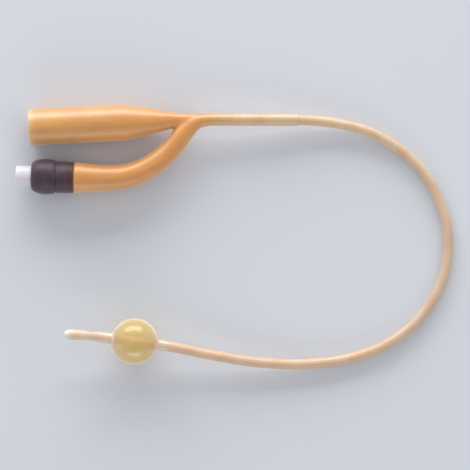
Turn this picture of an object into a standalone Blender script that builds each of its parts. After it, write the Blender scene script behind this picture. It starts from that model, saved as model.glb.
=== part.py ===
"""A two-way balloon catheter of latex, size CH 14, lying on a table with its balloon filled.

Everything is in metres with +Z up and the table at Z = 0. The pieces are modelled about the face where the shaft
starts inside the moulded Y, with the neck's axis along +X, and one empty carries them all so that the origin lies
under the middle of the Y and its valve. The shaft leaves along +X, turns back in a wide bend and ends at its tip.
"""

import math

import bmesh
import bpy
import numpy as np
from mathutils import Matrix, Vector

# Where the face at the shaft's start lies in plan
START_X = 0.0180
START_Y = 0.0130

# Clearances
BOND_GAP = 0.00015
RUNNING_GAP = 0.0002
CUT_PAST = 0.002

# Shaft, with a wide drainage lumen and a thin inflation lumen in the thicker side of its wall
SHAFT_RADIUS = 0.00225
DRAIN_LUMEN_RADIUS = 0.00115
INFLATE_LUMEN_RADIUS = 0.00036
LUMEN_SEPTUM = 0.00029
INFLATE_LUMEN_COVER = 0.00054
NOSE_LENGTH = 0.0032
NOSE_FLAT_RADIUS = 0.00018
EYE_FROM_TIP = 0.0120
EYE_LENGTH = 0.0052
EYE_WIDTH = 0.0022
EYE_FLARE = 1.3
LUMEN_PAST_EYE = 0.0022
LUMEN_END_LENGTH = 0.0009
LUMEN_END_RADIUS = 0.0006
PORT_RADIUS = 0.00045

# Balloon, a thin sleeve blown up round the shaft and bonded to it by a cuff at each end
BALLOON_RADIUS = 0.01025
BALLOON_WALL = 0.00035
CUFF_LENGTH = 0.0042
CUFF_FILLET = 0.0012
CUFF_END_WALL = 0.0002

# Drainage funnel, a barrel and a cone on one straight axis that meets the neck at a slight angle
FUNNEL_RADIUS = 0.0080
FUNNEL_BARREL_LENGTH = 0.0426
FUNNEL_CONE_LENGTH = 0.0250
FUNNEL_TILT = math.radians(2.84)
FUNNEL_SHOULDER_RADIUS = 0.0300
FUNNEL_MOUTH_WALL = 0.0017
FUNNEL_BARREL_END_WALL = 0.0028
RIM_ROUND = 0.0007
RIM_CHAMFER = 0.0003

# Neck sleeve, moulded over the start of the shaft, with its root inside the Y
NECK_WALL = 0.00028
NECK_LENGTH = 0.0441
NECK_ROOT = 0.0068
NECK_LIP = 0.0004

# Inflation arm, with a spigot at its end that the valve plugs and the collar grips
ARM_WALL = 0.0021
SPIGOT_WALL = 0.0013
SHOULDER_HEIGHT = 0.0009
SHOULDER_ROUND = 0.0004
SHOULDER_LENGTH = 0.0020

# Inflation valve, along its axis from the mouth of its socket
VALVE_REACH = 0.0310
VALVE_TILT = math.radians(-1.93)
LUER_RADIUS = 0.00445
LUER_BORE_RADIUS = 0.00215
LUER_TAPER = 0.06
LUER_DEPTH = 0.0075
LUER_CHAMFER = 0.0005
THROAT_LENGTH = 0.0009
SEAT_DEPTH = 0.0012
CHAMBER_RADIUS = 0.0030
FLANGE_THICKNESS = 0.0012
STEM_WALL = 0.0012
STEM_LENGTH = 0.0120
BARB_HEIGHT = 0.00025
BARB_LENGTH = 0.0019
BARB_PITCH = 0.0032
BARB_COUNT = 3
LIP_THICKNESS = 0.0008
LIP_HEIGHT = 0.0004

# Collar round the arm's end, a bulged barrel in front of a plain band
COLLAR_START = 0.0068
COLLAR_FRONT_WALL = 0.0013
COLLAR_FRONT_WIDTH = 0.0006
COLLAR_BARREL_WALL = 0.00175
COLLAR_BARREL_LENGTH = 0.0105
COLLAR_SWELL_LENGTH = 0.0064
COLLAR_FALL = 0.0008
COLLAR_BAND_WALL = 0.00095
COLLAR_BAND_LENGTH = 0.0080
COLLAR_GROOVE_DEPTH = 0.0003
COLLAR_GROOVE_WIDTH = 0.0006
COLLAR_EDGE = 0.0003

# Pieces inside the valve
ROD_RADIUS = 0.00095
ROD_START = 0.0052
THROAT_CLEARANCE = 0.00045
HEAD_CLEARANCE = 0.0006
HEAD_THICKNESS = 0.0008
STEM_EDGE = 0.0002
SEAL_THICKNESS = 0.0007
SEAL_LAND = 0.00015
GUIDE_RADIUS = 0.00085
RETAINER_THICKNESS = 0.0014
FLOW_HOLE_RADIUS = 0.0004
FLOW_HOLE_COUNT = 4
SPRING_WIRE_RADIUS = 0.0002
SPRING_CLEARANCE = 0.00065
SPRING_TURNS = 6
SPRING_CLOSED_TURNS = 1
SPRING_CLOSED_PITCH = 0.00046

# Facets
SHAFT_SPACING = 0.0060
SHAFT_SIDES = 12
LUMEN_SIDES = 8
NECK_SIDES = 16
ARM_SIDES = 20
CORE_SIDES = 16
TURNED_STEPS = 28
SMALL_STEPS = 20
SPRING_STEPS = 10
SPRING_SIDES = 6
ARC_STEPS = 5
FILLET_STEPS = 3
BALLOON_ARC_STEPS = 7
NOSE_ANGLES = (25, 45, 62, 76)

# The shaft's way in plan, with its lift above the table as a share of the neck's height
NECK_TO_BEND = (
    (0.0000, 0.0000, 1.00),
    (0.0140, 0.0000, 0.93),
    (0.0280, 0.0000, 0.78),
    (0.0400, 0.0000, 0.61),
    (0.0490, -0.0002, 0.47),
    (0.0580, -0.0011, 0.34),
    (0.0678, -0.0029, 0.215),
    (0.0758, -0.0055, 0.13),
    (0.0834, -0.0094, 0.065),
    (0.0904, -0.0142, 0.025),
    (0.0966, -0.0200, 0.006),
    (0.1017, -0.0266, 0.0),
)
# The same from the bend to the balloon, as a share of the balloon's height
BEND_TO_BALLOON = (
    (0.1056, -0.0342, 0.0),
    (0.1084, -0.0420, 0.0),
    (0.1099, -0.0503, 0.0),
    (0.1099, -0.0587, 0.0),
    (0.1085, -0.0670, 0.0),
    (0.1057, -0.0747, 0.0),
    (0.1016, -0.0820, 0.0),
    (0.0963, -0.0885, 0.0),
    (0.0900, -0.0941, 0.003),
    (0.0830, -0.0987, 0.010),
    (0.0756, -0.1022, 0.022),
    (0.0676, -0.1047, 0.039),
    (0.0594, -0.1063, 0.065),
    (0.0511, -0.1072, 0.102),
    (0.0427, -0.1075, 0.152),
    (0.0343, -0.1073, 0.218),
    (0.0259, -0.1066, 0.300),
    (0.0177, -0.1055, 0.395),
    (0.0094, -0.1040, 0.505),
    (0.0011, -0.1024, 0.621),
    (-0.0062, -0.1008, 0.725),
)
# The stretch through the balloon is straight and climbs a little, and the tip turns and droops slightly after it
BALLOON_X = -0.0280
BALLOON_Y = -0.0973
BALLOON_HEADING = math.radians(171.9)
BALLOON_CLIMB = math.radians(5.6)
STRETCH_HALF_LENGTH = 0.0156
TIP_LENGTH = 0.0156
TIP_TURN = math.radians(6.0)
TIP_DROOP = math.radians(1.5)
TIP_STEPS = 3

# The inflation arm's axis in plan and its radius, from the valve to where it runs out inside the neck
ARM_ROUTE = (
    (-0.0491, -0.02557, 0.00635),
    (-0.0434, -0.02570, 0.00595),
    (-0.0381, -0.02560, 0.00570),
    (-0.0328, -0.02510, 0.00545),
    (-0.0275, -0.02365, 0.00530),
    (-0.0225, -0.02125, 0.00505),
    (-0.0180, -0.01835, 0.00490),
    (-0.0141, -0.01505, 0.00465),
    (-0.0106, -0.01130, 0.00450),
    (-0.0077, -0.00750, 0.00440),
    (-0.0049, -0.00405, 0.00415),
    (-0.0024, -0.00180, 0.00370),
    (0.0004, -0.00060, 0.00320),
    (0.0037, -0.00015, 0.00280),
    (0.0072, 0.00000, 0.00240),
)
# The arm's channel leaves the arm's axis after some points, narrows and runs straight into the inflation lumen
CHANNEL_ARM_POINTS = 9
CHANNEL_END = (
    (-0.0079, -0.00790, 0.00180),
    (-0.0056, -0.00490, 0.00110),
    (-0.0035, -0.00290, 0.00065),
)
CHANNEL_STRAIGHT = 0.0017
# The drainage way's shares of its fall along the cone, and then how far before the shaft it bends over to its lumen
DRAIN_CONE_SHARES = (0.35, 0.65, 0.9)
DRAIN_BEND = ((0.0041, 0.6), (0.0014, 1.0))
# A web fills the crotch between the cone and the arm
WEB = (
    (-0.0060, -0.0020, 0.0016),
    (-0.0100, -0.0039, 0.0009),
)

# Places across the shaft and radii that follow from the sizes above
INFLATE_LUMEN_OFFSET = SHAFT_RADIUS - INFLATE_LUMEN_COVER - INFLATE_LUMEN_RADIUS
DRAIN_LUMEN_OFFSET = DRAIN_LUMEN_RADIUS + LUMEN_SEPTUM + INFLATE_LUMEN_RADIUS - INFLATE_LUMEN_OFFSET
SLEEVE_BORE = SHAFT_RADIUS + BOND_GAP
NECK_RADIUS = SLEEVE_BORE + NECK_WALL
STEM_RADIUS = CHAMBER_RADIUS + STEM_WALL
SOCKET_RADIUS = STEM_RADIUS + BARB_HEIGHT + BOND_GAP
SPIGOT_RADIUS = SOCKET_RADIUS + SPIGOT_WALL
SHOULDER_RADIUS = SPIGOT_RADIUS + SHOULDER_HEIGHT
COLLAR_BORE = SPIGOT_RADIUS + BOND_GAP
COLLAR_HOLE_RADIUS = LUER_RADIUS + BOND_GAP
COLLAR_FRONT_RADIUS = COLLAR_HOLE_RADIUS + COLLAR_FRONT_WIDTH
COLLAR_BARREL_RADIUS = COLLAR_BORE + COLLAR_BARREL_WALL
COLLAR_BAND_RADIUS = COLLAR_BORE + COLLAR_BAND_WALL
THROAT_RADIUS = ROD_RADIUS + THROAT_CLEARANCE
HEAD_RADIUS = CHAMBER_RADIUS - HEAD_CLEARANCE
SEAL_RADIUS = HEAD_RADIUS - STEM_EDGE
RETAINER_HOLE_RADIUS = GUIDE_RADIUS + RUNNING_GAP
SPRING_RADIUS = GUIDE_RADIUS + SPRING_CLEARANCE + SPRING_WIRE_RADIUS

# Heights of the axes above the table, set by what each stretch lies on
NECK_HEIGHT = FUNNEL_RADIUS
VALVE_HEIGHT = COLLAR_BARREL_RADIUS
SHAFT_HEIGHT = SHAFT_RADIUS
BALLOON_HEIGHT = BALLOON_RADIUS

# Places along the funnel's and the valve's axes that follow from the sizes above
FUNNEL_LENGTH = FUNNEL_BARREL_LENGTH + FUNNEL_CONE_LENGTH
FLANGE_START = COLLAR_START + COLLAR_FRONT_WALL + BOND_GAP
FLANGE_END = FLANGE_START + FLANGE_THICKNESS
BODY_END = FLANGE_END + STEM_LENGTH
ARM_END = FLANGE_END + BOND_GAP
COLLAR_GROOVE_START = COLLAR_START + COLLAR_BARREL_LENGTH
COLLAR_END = COLLAR_GROOVE_START + COLLAR_BAND_LENGTH
SEAT_START = LUER_DEPTH + THROAT_LENGTH
SEAT_SLOPE = SEAT_DEPTH / (CHAMBER_RADIUS - THROAT_RADIUS)
SEAL_FRONT = SEAT_START + SEAL_LAND * SEAT_SLOPE + RUNNING_GAP
SEAL_SHOULDER = SEAL_FRONT + (SEAL_RADIUS - THROAT_RADIUS - SEAL_LAND) * SEAT_SLOPE
SEAL_END = SEAL_SHOULDER + SEAL_THICKNESS
HEAD_FRONT = SEAL_END + BOND_GAP
HEAD_END = HEAD_FRONT + HEAD_THICKNESS
RETAINER_START = BODY_END - LIP_THICKNESS - BOND_GAP - RETAINER_THICKNESS
GUIDE_END = RETAINER_START + RETAINER_THICKNESS


class Route:
    """A smooth curve through given points. It gives the place, heading and right-hand side at a distance along it."""

    STEPS = 12
    NUDGE = 0.0002

    def __init__(self, points):
        given = np.array(points, float)
        given = np.vstack([2 * given[0] - given[1], given, 2 * given[-1] - given[-2]])
        curve = []
        for before, start, end, after in zip(given, given[1:], given[2:], given[3:]):
            for share in np.arange(self.STEPS) / self.STEPS:
                bend = 2 * before - 5 * start + 4 * end - after
                twist = 3 * start - before - 3 * end + after
                curve.append(start + 0.5 * ((end - before) * share + bend * share**2 + twist * share**3))
        self.points = np.array(curve + [given[-2]])
        steps = np.linalg.norm(np.diff(self.points, axis=0), axis=1)
        self.marks = np.concatenate([[0.0], np.cumsum(steps)])
        self.length = float(self.marks[-1])

    def on_curve(self, distance):
        return Vector([np.interp(distance, self.marks, column) for column in self.points.T])

    def heading(self, distance):
        middle = min(max(distance, self.NUDGE), self.length - self.NUDGE)
        return (self.on_curve(middle + self.NUDGE) - self.on_curve(middle - self.NUDGE)).normalized()

    def at(self, distance, right=0.0):
        """The place at this distance, going straight on past either end, moved sideways to the right."""
        inside = min(max(distance, 0.0), self.length)
        place = self.on_curve(inside) + self.heading(inside) * (distance - inside)
        return place + self.right(distance) * right

    def right(self, distance):
        return self.heading(distance).cross(Vector((0, 0, 1))).normalized()

    def spread(self, start, end, spacing):
        """Distances from start to end, evenly spaced."""
        return np.linspace(start, end, max(2, round((end - start) / spacing) + 1))


def clear_scene():
    for obj in list(bpy.data.objects):
        bpy.data.objects.remove(obj)


def new_collection(name, hidden=False):
    collection = bpy.data.collections.new(name)
    collection.hide_render = hidden
    bpy.context.scene.collection.children.link(collection)
    return collection


def new_material(name, colour, roughness, metallic=0.0, alpha=1.0):
    material = bpy.data.materials.new(name)
    material.use_nodes = True
    material.diffuse_color = (*colour, alpha)
    shader = material.node_tree.nodes["Principled BSDF"]
    shader.inputs["Base Color"].default_value = (*colour, 1.0)
    shader.inputs["Roughness"].default_value = roughness
    shader.inputs["Metallic"].default_value = metallic
    shader.inputs["Alpha"].default_value = alpha
    return material


def new_object(name, data, collection, carrier, material=None):
    """An object of the given data, carried by an empty. Helpers have no material and don't render."""
    obj = bpy.data.objects.new(name, data)
    collection.objects.link(obj)
    obj.parent = carrier
    if material:
        data.materials.append(material)
    else:
        obj.hide_render = True
        obj.display_type = "WIRE"
    return obj


def tube_curve(name, places, radii, sides):
    """A curve with filled caps whose round section has its own radius at each point."""
    curve = bpy.data.curves.new(name, "CURVE")
    curve.dimensions = "3D"
    curve.twist_mode = "Z_UP"
    curve.bevel_resolution = (sides - 4) // 2
    curve.bevel_depth = max(radii)
    curve.use_fill_caps = True
    spline = curve.splines.new("POLY")
    spline.points.add(len(places) - 1)
    for point, place, radius in zip(spline.points, places, radii):
        point.co = (*place, 1.0)
        point.radius = radius / max(radii)
    return curve


def tube(name, places, radii, sides, collection, carrier, material=None):
    """The same as a mesh object, with its caps welded on, so that it can be cut or joined."""
    curve = new_object(name, tube_curve(name, places, radii, sides), collection, carrier)
    bpy.context.view_layer.update()
    graph = bpy.context.evaluated_depsgraph_get()
    mesh = bpy.data.meshes.new_from_object(curve.evaluated_get(graph))
    bpy.data.objects.remove(curve)
    shell = bmesh.new()
    shell.from_mesh(mesh)
    bmesh.ops.remove_doubles(shell, verts=shell.verts, dist=1e-6)
    bmesh.ops.recalc_face_normals(shell, faces=shell.faces)
    shell.to_mesh(mesh)
    shell.free()
    mesh.name = name
    mesh.shade_smooth()
    return new_object(name, mesh, collection, carrier, material)


def turned(name, profile, steps, collection, carrier, material=None, ring=False):
    """A profile of (radius, height), its outer side running down, turned about Z. A ring's profile is a loop."""
    mesh = bpy.data.meshes.new(name)
    edges = [(i, i + 1) for i in range(len(profile) - 1)]
    if ring:
        edges.append((len(profile) - 1, 0))
    mesh.from_pydata([(radius, 0.0, height) for radius, height in profile], edges, [])
    obj = new_object(name, mesh, collection, carrier, material)
    screw = obj.modifiers.new("Turn", "SCREW")
    screw.steps = screw.render_steps = steps
    screw.use_merge_vertices = True
    screw.merge_threshold = 1e-6
    return obj


def arc(centre_radius, centre_height, radius, start, end, steps=ARC_STEPS):
    """Points of a profile on an arc, with angles in degrees from the outward direction towards +Z."""
    angles = np.radians(np.linspace(start, end, steps + 1))
    return [(centre_radius + radius * math.cos(a), centre_height + radius * math.sin(a)) for a in angles]


def boolean(obj, other, operation):
    modifier = obj.modifiers.new(other.name, "BOOLEAN")
    modifier.operation = operation
    modifier.object = other


def point_along(obj, place, direction, across=None):
    """Puts an object at a place with its Z along the direction and, where given, its X along another."""
    z = Vector(direction).normalized()
    x = Vector(across) if across else Vector((0, 0, 1)).cross(z)
    x = (x - z * x.dot(z)).normalized()
    y = z.cross(x)
    obj.matrix_local = Matrix.Translation(place) @ Matrix((x, y, z)).transposed().to_4x4()


def in_plan(angle, climb=0.0):
    """The direction at this angle from +X in plan, climbing by the other angle."""
    return Vector((math.cos(angle) * math.cos(climb), math.sin(angle) * math.cos(climb), math.sin(climb)))


def shaft_route():
    """The shaft's axis from its face inside the Y to the end of its tip, and how far along it the balloon is."""
    neck_lift = NECK_HEIGHT - SHAFT_HEIGHT
    balloon_lift = BALLOON_HEIGHT - SHAFT_HEIGHT
    points = [Vector((x, y, SHAFT_HEIGHT + lift * neck_lift)) for x, y, lift in NECK_TO_BEND]
    points += [Vector((x, y, SHAFT_HEIGHT + lift * balloon_lift)) for x, y, lift in BEND_TO_BALLOON]
    balloon = Vector((BALLOON_X, BALLOON_Y, BALLOON_HEIGHT))
    along = in_plan(BALLOON_HEADING, BALLOON_CLIMB)
    points += [balloon + along * STRETCH_HALF_LENGTH * share for share in (-1.0, -0.5, 0.0, 0.5, 1.0)]
    for step in range(1, TIP_STEPS + 1):
        share = step / TIP_STEPS
        turned_way = in_plan(BALLOON_HEADING + TIP_TURN * share, BALLOON_CLIMB - TIP_DROOP * share)
        points.append(points[-1] + turned_way * TIP_LENGTH / TIP_STEPS)
    route = Route(points)
    return route, route.length - TIP_LENGTH - STRETCH_HALF_LENGTH


def make_shaft(route, balloon_at, parts, cutters, root, latex):
    """The extruded tube with its closed nose, both lumens, two opposed drainage eyes and the balloon's port."""
    nose_start = route.length - NOSE_LENGTH
    distances = list(route.spread(0.0, nose_start, SHAFT_SPACING))
    radii = [SHAFT_RADIUS] * len(distances)
    for angle in np.radians(NOSE_ANGLES):
        distances.append(nose_start + NOSE_LENGTH * math.sin(angle))
        radii.append(SHAFT_RADIUS * math.cos(angle))
    distances.append(route.length)
    radii.append(NOSE_FLAT_RADIUS)
    places = [route.at(distance) for distance in distances]
    shaft = tube("shaft", places, radii, SHAFT_SIDES, parts, root, latex)

    lumen_end = route.length - EYE_FROM_TIP + EYE_LENGTH / 2 + LUMEN_PAST_EYE
    distances = route.spread(-CUT_PAST, lumen_end, SHAFT_SPACING)
    places = [route.at(distance, right=-DRAIN_LUMEN_OFFSET) for distance in distances]
    places.append(route.at(lumen_end + LUMEN_END_LENGTH, right=-DRAIN_LUMEN_OFFSET))
    radii = [DRAIN_LUMEN_RADIUS] * len(distances) + [LUMEN_END_RADIUS]
    boolean(shaft, tube("drain_lumen", places, radii, LUMEN_SIDES, cutters, root), "DIFFERENCE")

    distances = route.spread(-CUT_PAST, balloon_at + 3 * PORT_RADIUS, SHAFT_SPACING)
    places = [route.at(distance, right=INFLATE_LUMEN_OFFSET) for distance in distances]
    radii = [INFLATE_LUMEN_RADIUS] * len(distances)
    boolean(shaft, tube("inflation_lumen", places, radii, LUMEN_SIDES, cutters, root), "DIFFERENCE")

    places = [route.at(balloon_at, right=side) for side in (INFLATE_LUMEN_OFFSET, SHAFT_RADIUS + CUT_PAST)]
    boolean(shaft, tube("port_drill", places, [PORT_RADIUS] * 2, LUMEN_SIDES, cutters, root), "DIFFERENCE")

    # One punch through both walls, narrow at the middle and flared outside, makes the pair of rounded eyes
    eye_at = route.length - EYE_FROM_TIP
    narrow = EYE_WIDTH / 2
    wide = narrow * EYE_FLARE
    outside = SHAFT_RADIUS + CUT_PAST
    profile = [(0, outside), (wide, outside), (wide, SHAFT_RADIUS), (narrow, DRAIN_LUMEN_RADIUS)]
    profile += [(radius, -height) for radius, height in reversed(profile)]
    punch = turned("eye_punch", profile, LUMEN_SIDES * 2, cutters, root)
    point_along(punch, route.at(eye_at), route.right(eye_at), across=route.heading(eye_at))
    punch.scale = (EYE_LENGTH / EYE_WIDTH, 1.0, 1.0)
    boolean(shaft, punch, "DIFFERENCE")
    return shaft


def balloon_side(inset):
    """Half the balloon's profile, from its equator to the thinned end of one cuff, moved in by inset."""
    cuff_radius = SLEEVE_BORE + BALLOON_WALL
    fillet_radius = cuff_radius + CUFF_FILLET
    fillet_height = math.sqrt((BALLOON_RADIUS + CUFF_FILLET) ** 2 - fillet_radius**2)
    meeting = math.degrees(math.atan2(fillet_height, fillet_radius))
    side = arc(0, 0, BALLOON_RADIUS - inset, 0, meeting, BALLOON_ARC_STEPS)
    side += arc(fillet_radius, fillet_height, CUFF_FILLET + inset, 180 + meeting, 180, FILLET_STEPS)[1:]
    end_radius = SLEEVE_BORE if inset else SLEEVE_BORE + CUFF_END_WALL
    side.append((end_radius, fillet_height + CUFF_LENGTH))
    return side


def make_balloon(route, balloon_at, parts, root, latex):
    """The sleeve as a thin turned shell, open at both cuffs where the shaft runs through it."""
    outer = balloon_side(0.0)
    inner = balloon_side(BALLOON_WALL)
    down = [(radius, -height) for radius, height in outer[1:]]
    up = [(radius, -height) for radius, height in reversed(inner[1:])]
    profile = outer[::-1] + down + up + inner
    balloon = turned("balloon", profile, TURNED_STEPS, parts, root, latex, ring=True)
    point_along(balloon, route.at(balloon_at), route.heading(balloon_at))
    return balloon


def funnel_mouth():
    """The middle of the funnel's mouth and the direction from it along the funnel's axis."""
    along = in_plan(FUNNEL_TILT)
    join = Vector((-NECK_ROOT, 0, NECK_HEIGHT))
    return join - along * FUNNEL_LENGTH, along


def valve_mouth():
    """The middle of the valve's mouth and the direction from it into the arm."""
    x, y, _ = ARM_ROUTE[0]
    along = in_plan(VALVE_TILT)
    return Vector((x, y, VALVE_HEIGHT)) - along * VALVE_REACH, along


def arm_sections(shrink=0.0):
    """The arm's axis and radii from its first route point to the neck, rising from the valve's height to the neck's."""
    count = len(ARM_ROUTE)
    places, radii = [], []
    for number, (x, y, radius) in enumerate(ARM_ROUTE):
        share = number / (count - 1)
        places.append(Vector((x, y, VALVE_HEIGHT + (NECK_HEIGHT - VALVE_HEIGHT) * share)))
        radii.append(radius - shrink)
    return places, radii


def funnel_profile():
    """The funnel's outside, from inside the neck down over the rounded shoulder to the rounded rim of its mouth."""
    fall = math.atan2(FUNNEL_RADIUS - NECK_RADIUS, FUNNEL_CONE_LENGTH)
    shoulder_start = FUNNEL_BARREL_LENGTH - FUNNEL_SHOULDER_RADIUS * math.tan(fall / 2)
    shoulder_centre = FUNNEL_RADIUS - FUNNEL_SHOULDER_RADIUS
    profile = [(0, FUNNEL_LENGTH + CUT_PAST), (NECK_RADIUS - NECK_WALL, FUNNEL_LENGTH + CUT_PAST)]
    profile.append((NECK_RADIUS, FUNNEL_LENGTH))
    profile += arc(
        shoulder_centre, shoulder_start, FUNNEL_SHOULDER_RADIUS, math.degrees(fall), 0, FILLET_STEPS
    )
    profile += arc(FUNNEL_RADIUS - RIM_ROUND, RIM_ROUND, RIM_ROUND, 0, -90, FILLET_STEPS)
    profile.append((0, 0))
    return profile


def make_connector(route, parts, cutters, root, latex):
    """The moulded Y: funnel, neck sleeve and arm as one solid round three mould cores and the shaft."""
    mouth, along = funnel_mouth()
    connector = turned("y_connector", funnel_profile(), TURNED_STEPS, parts, root, latex)
    point_along(connector, mouth, along)

    # Neck sleeve, from inside the cone to its rounded lip
    distances = list(route.spread(-NECK_ROOT - CUT_PAST, NECK_LENGTH - NECK_LIP, SHAFT_SPACING))
    radii = [NECK_RADIUS] * len(distances)
    for angle in np.radians((45, 90)):
        distances.append(NECK_LENGTH - NECK_LIP * (1 - math.sin(angle)))
        radii.append(NECK_RADIUS - NECK_LIP * (1 - math.cos(angle)))
    places = [route.at(distance) for distance in distances]
    boolean(connector, tube("neck_sleeve", places, radii, NECK_SIDES, cutters, root), "UNION")

    # Inflation arm, from the spigot's end face over the shoulder and round to the neck
    valve, inward = valve_mouth()
    shoulder = COLLAR_END + BOND_GAP
    steps = [
        (ARM_END, SPIGOT_RADIUS - SHOULDER_ROUND),
        (ARM_END + SHOULDER_ROUND, SPIGOT_RADIUS),
        (shoulder, SPIGOT_RADIUS),
        (shoulder + BOND_GAP, SHOULDER_RADIUS - SHOULDER_ROUND),
        (shoulder + SHOULDER_ROUND, SHOULDER_RADIUS),
        (shoulder + SHOULDER_LENGTH, SHOULDER_RADIUS),
    ]
    route_places, route_radii = arm_sections()
    arm_places = [valve + inward * distance for distance, _ in steps] + route_places
    arm_radii = [radius for _, radius in steps] + route_radii
    boolean(connector, tube("inflation_arm", arm_places, arm_radii, ARM_SIDES, cutters, root), "UNION")

    # Web in the crotch
    places = [Vector((x, y, NECK_HEIGHT)) for x, y, _ in WEB]
    radii = [radius for _, _, radius in WEB]
    boolean(connector, tube("crotch_web", places, radii, LUMEN_SIDES, cutters, root), "UNION")

    # Core of the drainage way, from the chamfered mouth down to the shaft's drainage lumen
    mouth_bore = FUNNEL_RADIUS - FUNNEL_MOUTH_WALL
    barrel_end_bore = FUNNEL_RADIUS - FUNNEL_BARREL_END_WALL
    bore = [
        (-CUT_PAST, mouth_bore + RIM_CHAMFER),
        (0.0, mouth_bore + RIM_CHAMFER),
        (RIM_CHAMFER, mouth_bore),
        (FUNNEL_BARREL_LENGTH, barrel_end_bore),
    ]
    for share in DRAIN_CONE_SHARES:
        radius = barrel_end_bore + share * (DRAIN_LUMEN_RADIUS - barrel_end_bore)
        bore.append((FUNNEL_BARREL_LENGTH + share * FUNNEL_CONE_LENGTH, radius))
    places = [mouth + along * height for height, _ in bore]
    radii = [radius for _, radius in bore]
    for before, share in DRAIN_BEND:
        places.append(route.at(-before, right=-DRAIN_LUMEN_OFFSET * share))
    places.append(route.at(2 * BOND_GAP, right=-DRAIN_LUMEN_OFFSET))
    radii += [DRAIN_LUMEN_RADIUS] * (len(DRAIN_BEND) + 1)
    boolean(connector, tube("drain_core", places, radii, CORE_SIDES, cutters, root), "DIFFERENCE")

    # Core of the inflation way, from the valve's socket along the arm down to the shaft's inflation lumen
    route_places, route_radii = arm_sections(ARM_WALL)
    places = [valve + inward * distance for distance in (ARM_END - CUT_PAST, BODY_END + BOND_GAP)]
    places += route_places[:CHANNEL_ARM_POINTS]
    radii = [SOCKET_RADIUS] * 2 + route_radii[:CHANNEL_ARM_POINTS]
    for x, y, radius in CHANNEL_END:
        places.append(Vector((x, y, NECK_HEIGHT)))
        radii.append(radius)
    for distance in (-CHANNEL_STRAIGHT, 2 * BOND_GAP):
        places.append(route.at(distance, right=INFLATE_LUMEN_OFFSET))
        radii.append(INFLATE_LUMEN_RADIUS)
    boolean(connector, tube("inflation_core", places, radii, CORE_SIDES, cutters, root), "DIFFERENCE")

    # Room for the shaft inside the sleeve
    distances = route.spread(-BOND_GAP, NECK_LENGTH + CUT_PAST, SHAFT_SPACING)
    places = [route.at(distance) for distance in distances]
    radii = [SLEEVE_BORE] * len(places)
    boolean(connector, tube("shaft_room", places, radii, SHAFT_SIDES, cutters, root), "DIFFERENCE")
    return connector


def make_collar(parts, axis, rubber):
    """The dark collar: a barrel that swells from its front, a groove and a plain band, hollow for the spigot."""
    swell_end = COLLAR_START + COLLAR_SWELL_LENGTH
    fall_length = COLLAR_GROOVE_START - swell_end
    quarter = np.radians(np.linspace(90, 0, ARC_STEPS + 1))
    groove_radius = COLLAR_BAND_RADIUS - COLLAR_GROOVE_DEPTH
    band_start = COLLAR_GROOVE_START + COLLAR_GROOVE_WIDTH
    profile = [
        (COLLAR_BAND_RADIUS - COLLAR_EDGE, COLLAR_END),
        (COLLAR_BAND_RADIUS, COLLAR_END - COLLAR_EDGE),
        (COLLAR_BAND_RADIUS, band_start),
        (groove_radius, band_start - COLLAR_EDGE),
        (groove_radius, COLLAR_GROOVE_START),
    ]
    for angle in quarter:
        radius = COLLAR_BARREL_RADIUS - COLLAR_FALL * (1 - math.cos(angle))
        profile.append((radius, swell_end + fall_length * math.sin(angle)))
    swell = COLLAR_BARREL_RADIUS - COLLAR_FRONT_RADIUS
    for angle in quarter[-2::-1]:
        radius = COLLAR_FRONT_RADIUS + swell * math.cos(angle)
        profile.append((radius, swell_end - COLLAR_SWELL_LENGTH * math.sin(angle)))
    front_back = COLLAR_START + COLLAR_FRONT_WALL
    profile += [(COLLAR_HOLE_RADIUS, COLLAR_START), (COLLAR_HOLE_RADIUS, front_back)]
    profile += [(COLLAR_BORE, front_back), (COLLAR_BORE, COLLAR_END)]
    return turned("valve_collar", profile, TURNED_STEPS, parts, axis, rubber, ring=True)


def make_body(parts, axis, plastic):
    """The valve's body: luer socket, throat, cone seat and chamber inside, and a flange and barbed stem outside."""
    profile = [(STEM_RADIUS - BARB_HEIGHT, BODY_END), (STEM_RADIUS, BODY_END - BARB_HEIGHT)]
    for number in range(BARB_COUNT):
        deep = BODY_END - BARB_HEIGHT - number * BARB_PITCH
        crest = deep - BARB_LENGTH
        if number:
            profile.append((STEM_RADIUS, deep))
        profile += [(STEM_RADIUS + BARB_HEIGHT, crest), (STEM_RADIUS, crest)]
    bore_end = LUER_BORE_RADIUS - LUER_TAPER / 2 * LUER_DEPTH
    profile += [
        (STEM_RADIUS, FLANGE_END),
        (SPIGOT_RADIUS, FLANGE_END),
        (SPIGOT_RADIUS, FLANGE_START),
        (LUER_RADIUS, FLANGE_START),
        (LUER_RADIUS, LUER_CHAMFER),
        (LUER_RADIUS - LUER_CHAMFER, 0),
        (LUER_BORE_RADIUS, 0),
        (bore_end, LUER_DEPTH),
        (THROAT_RADIUS, LUER_DEPTH),
        (THROAT_RADIUS, SEAT_START),
        (CHAMBER_RADIUS, SEAT_START + SEAT_DEPTH),
        (CHAMBER_RADIUS, BODY_END - LIP_THICKNESS),
        (CHAMBER_RADIUS - LIP_HEIGHT, BODY_END - LIP_THICKNESS),
        (CHAMBER_RADIUS - LIP_HEIGHT, BODY_END),
    ]
    return turned("valve_body", profile, SMALL_STEPS, parts, axis, plastic, ring=True)


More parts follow.
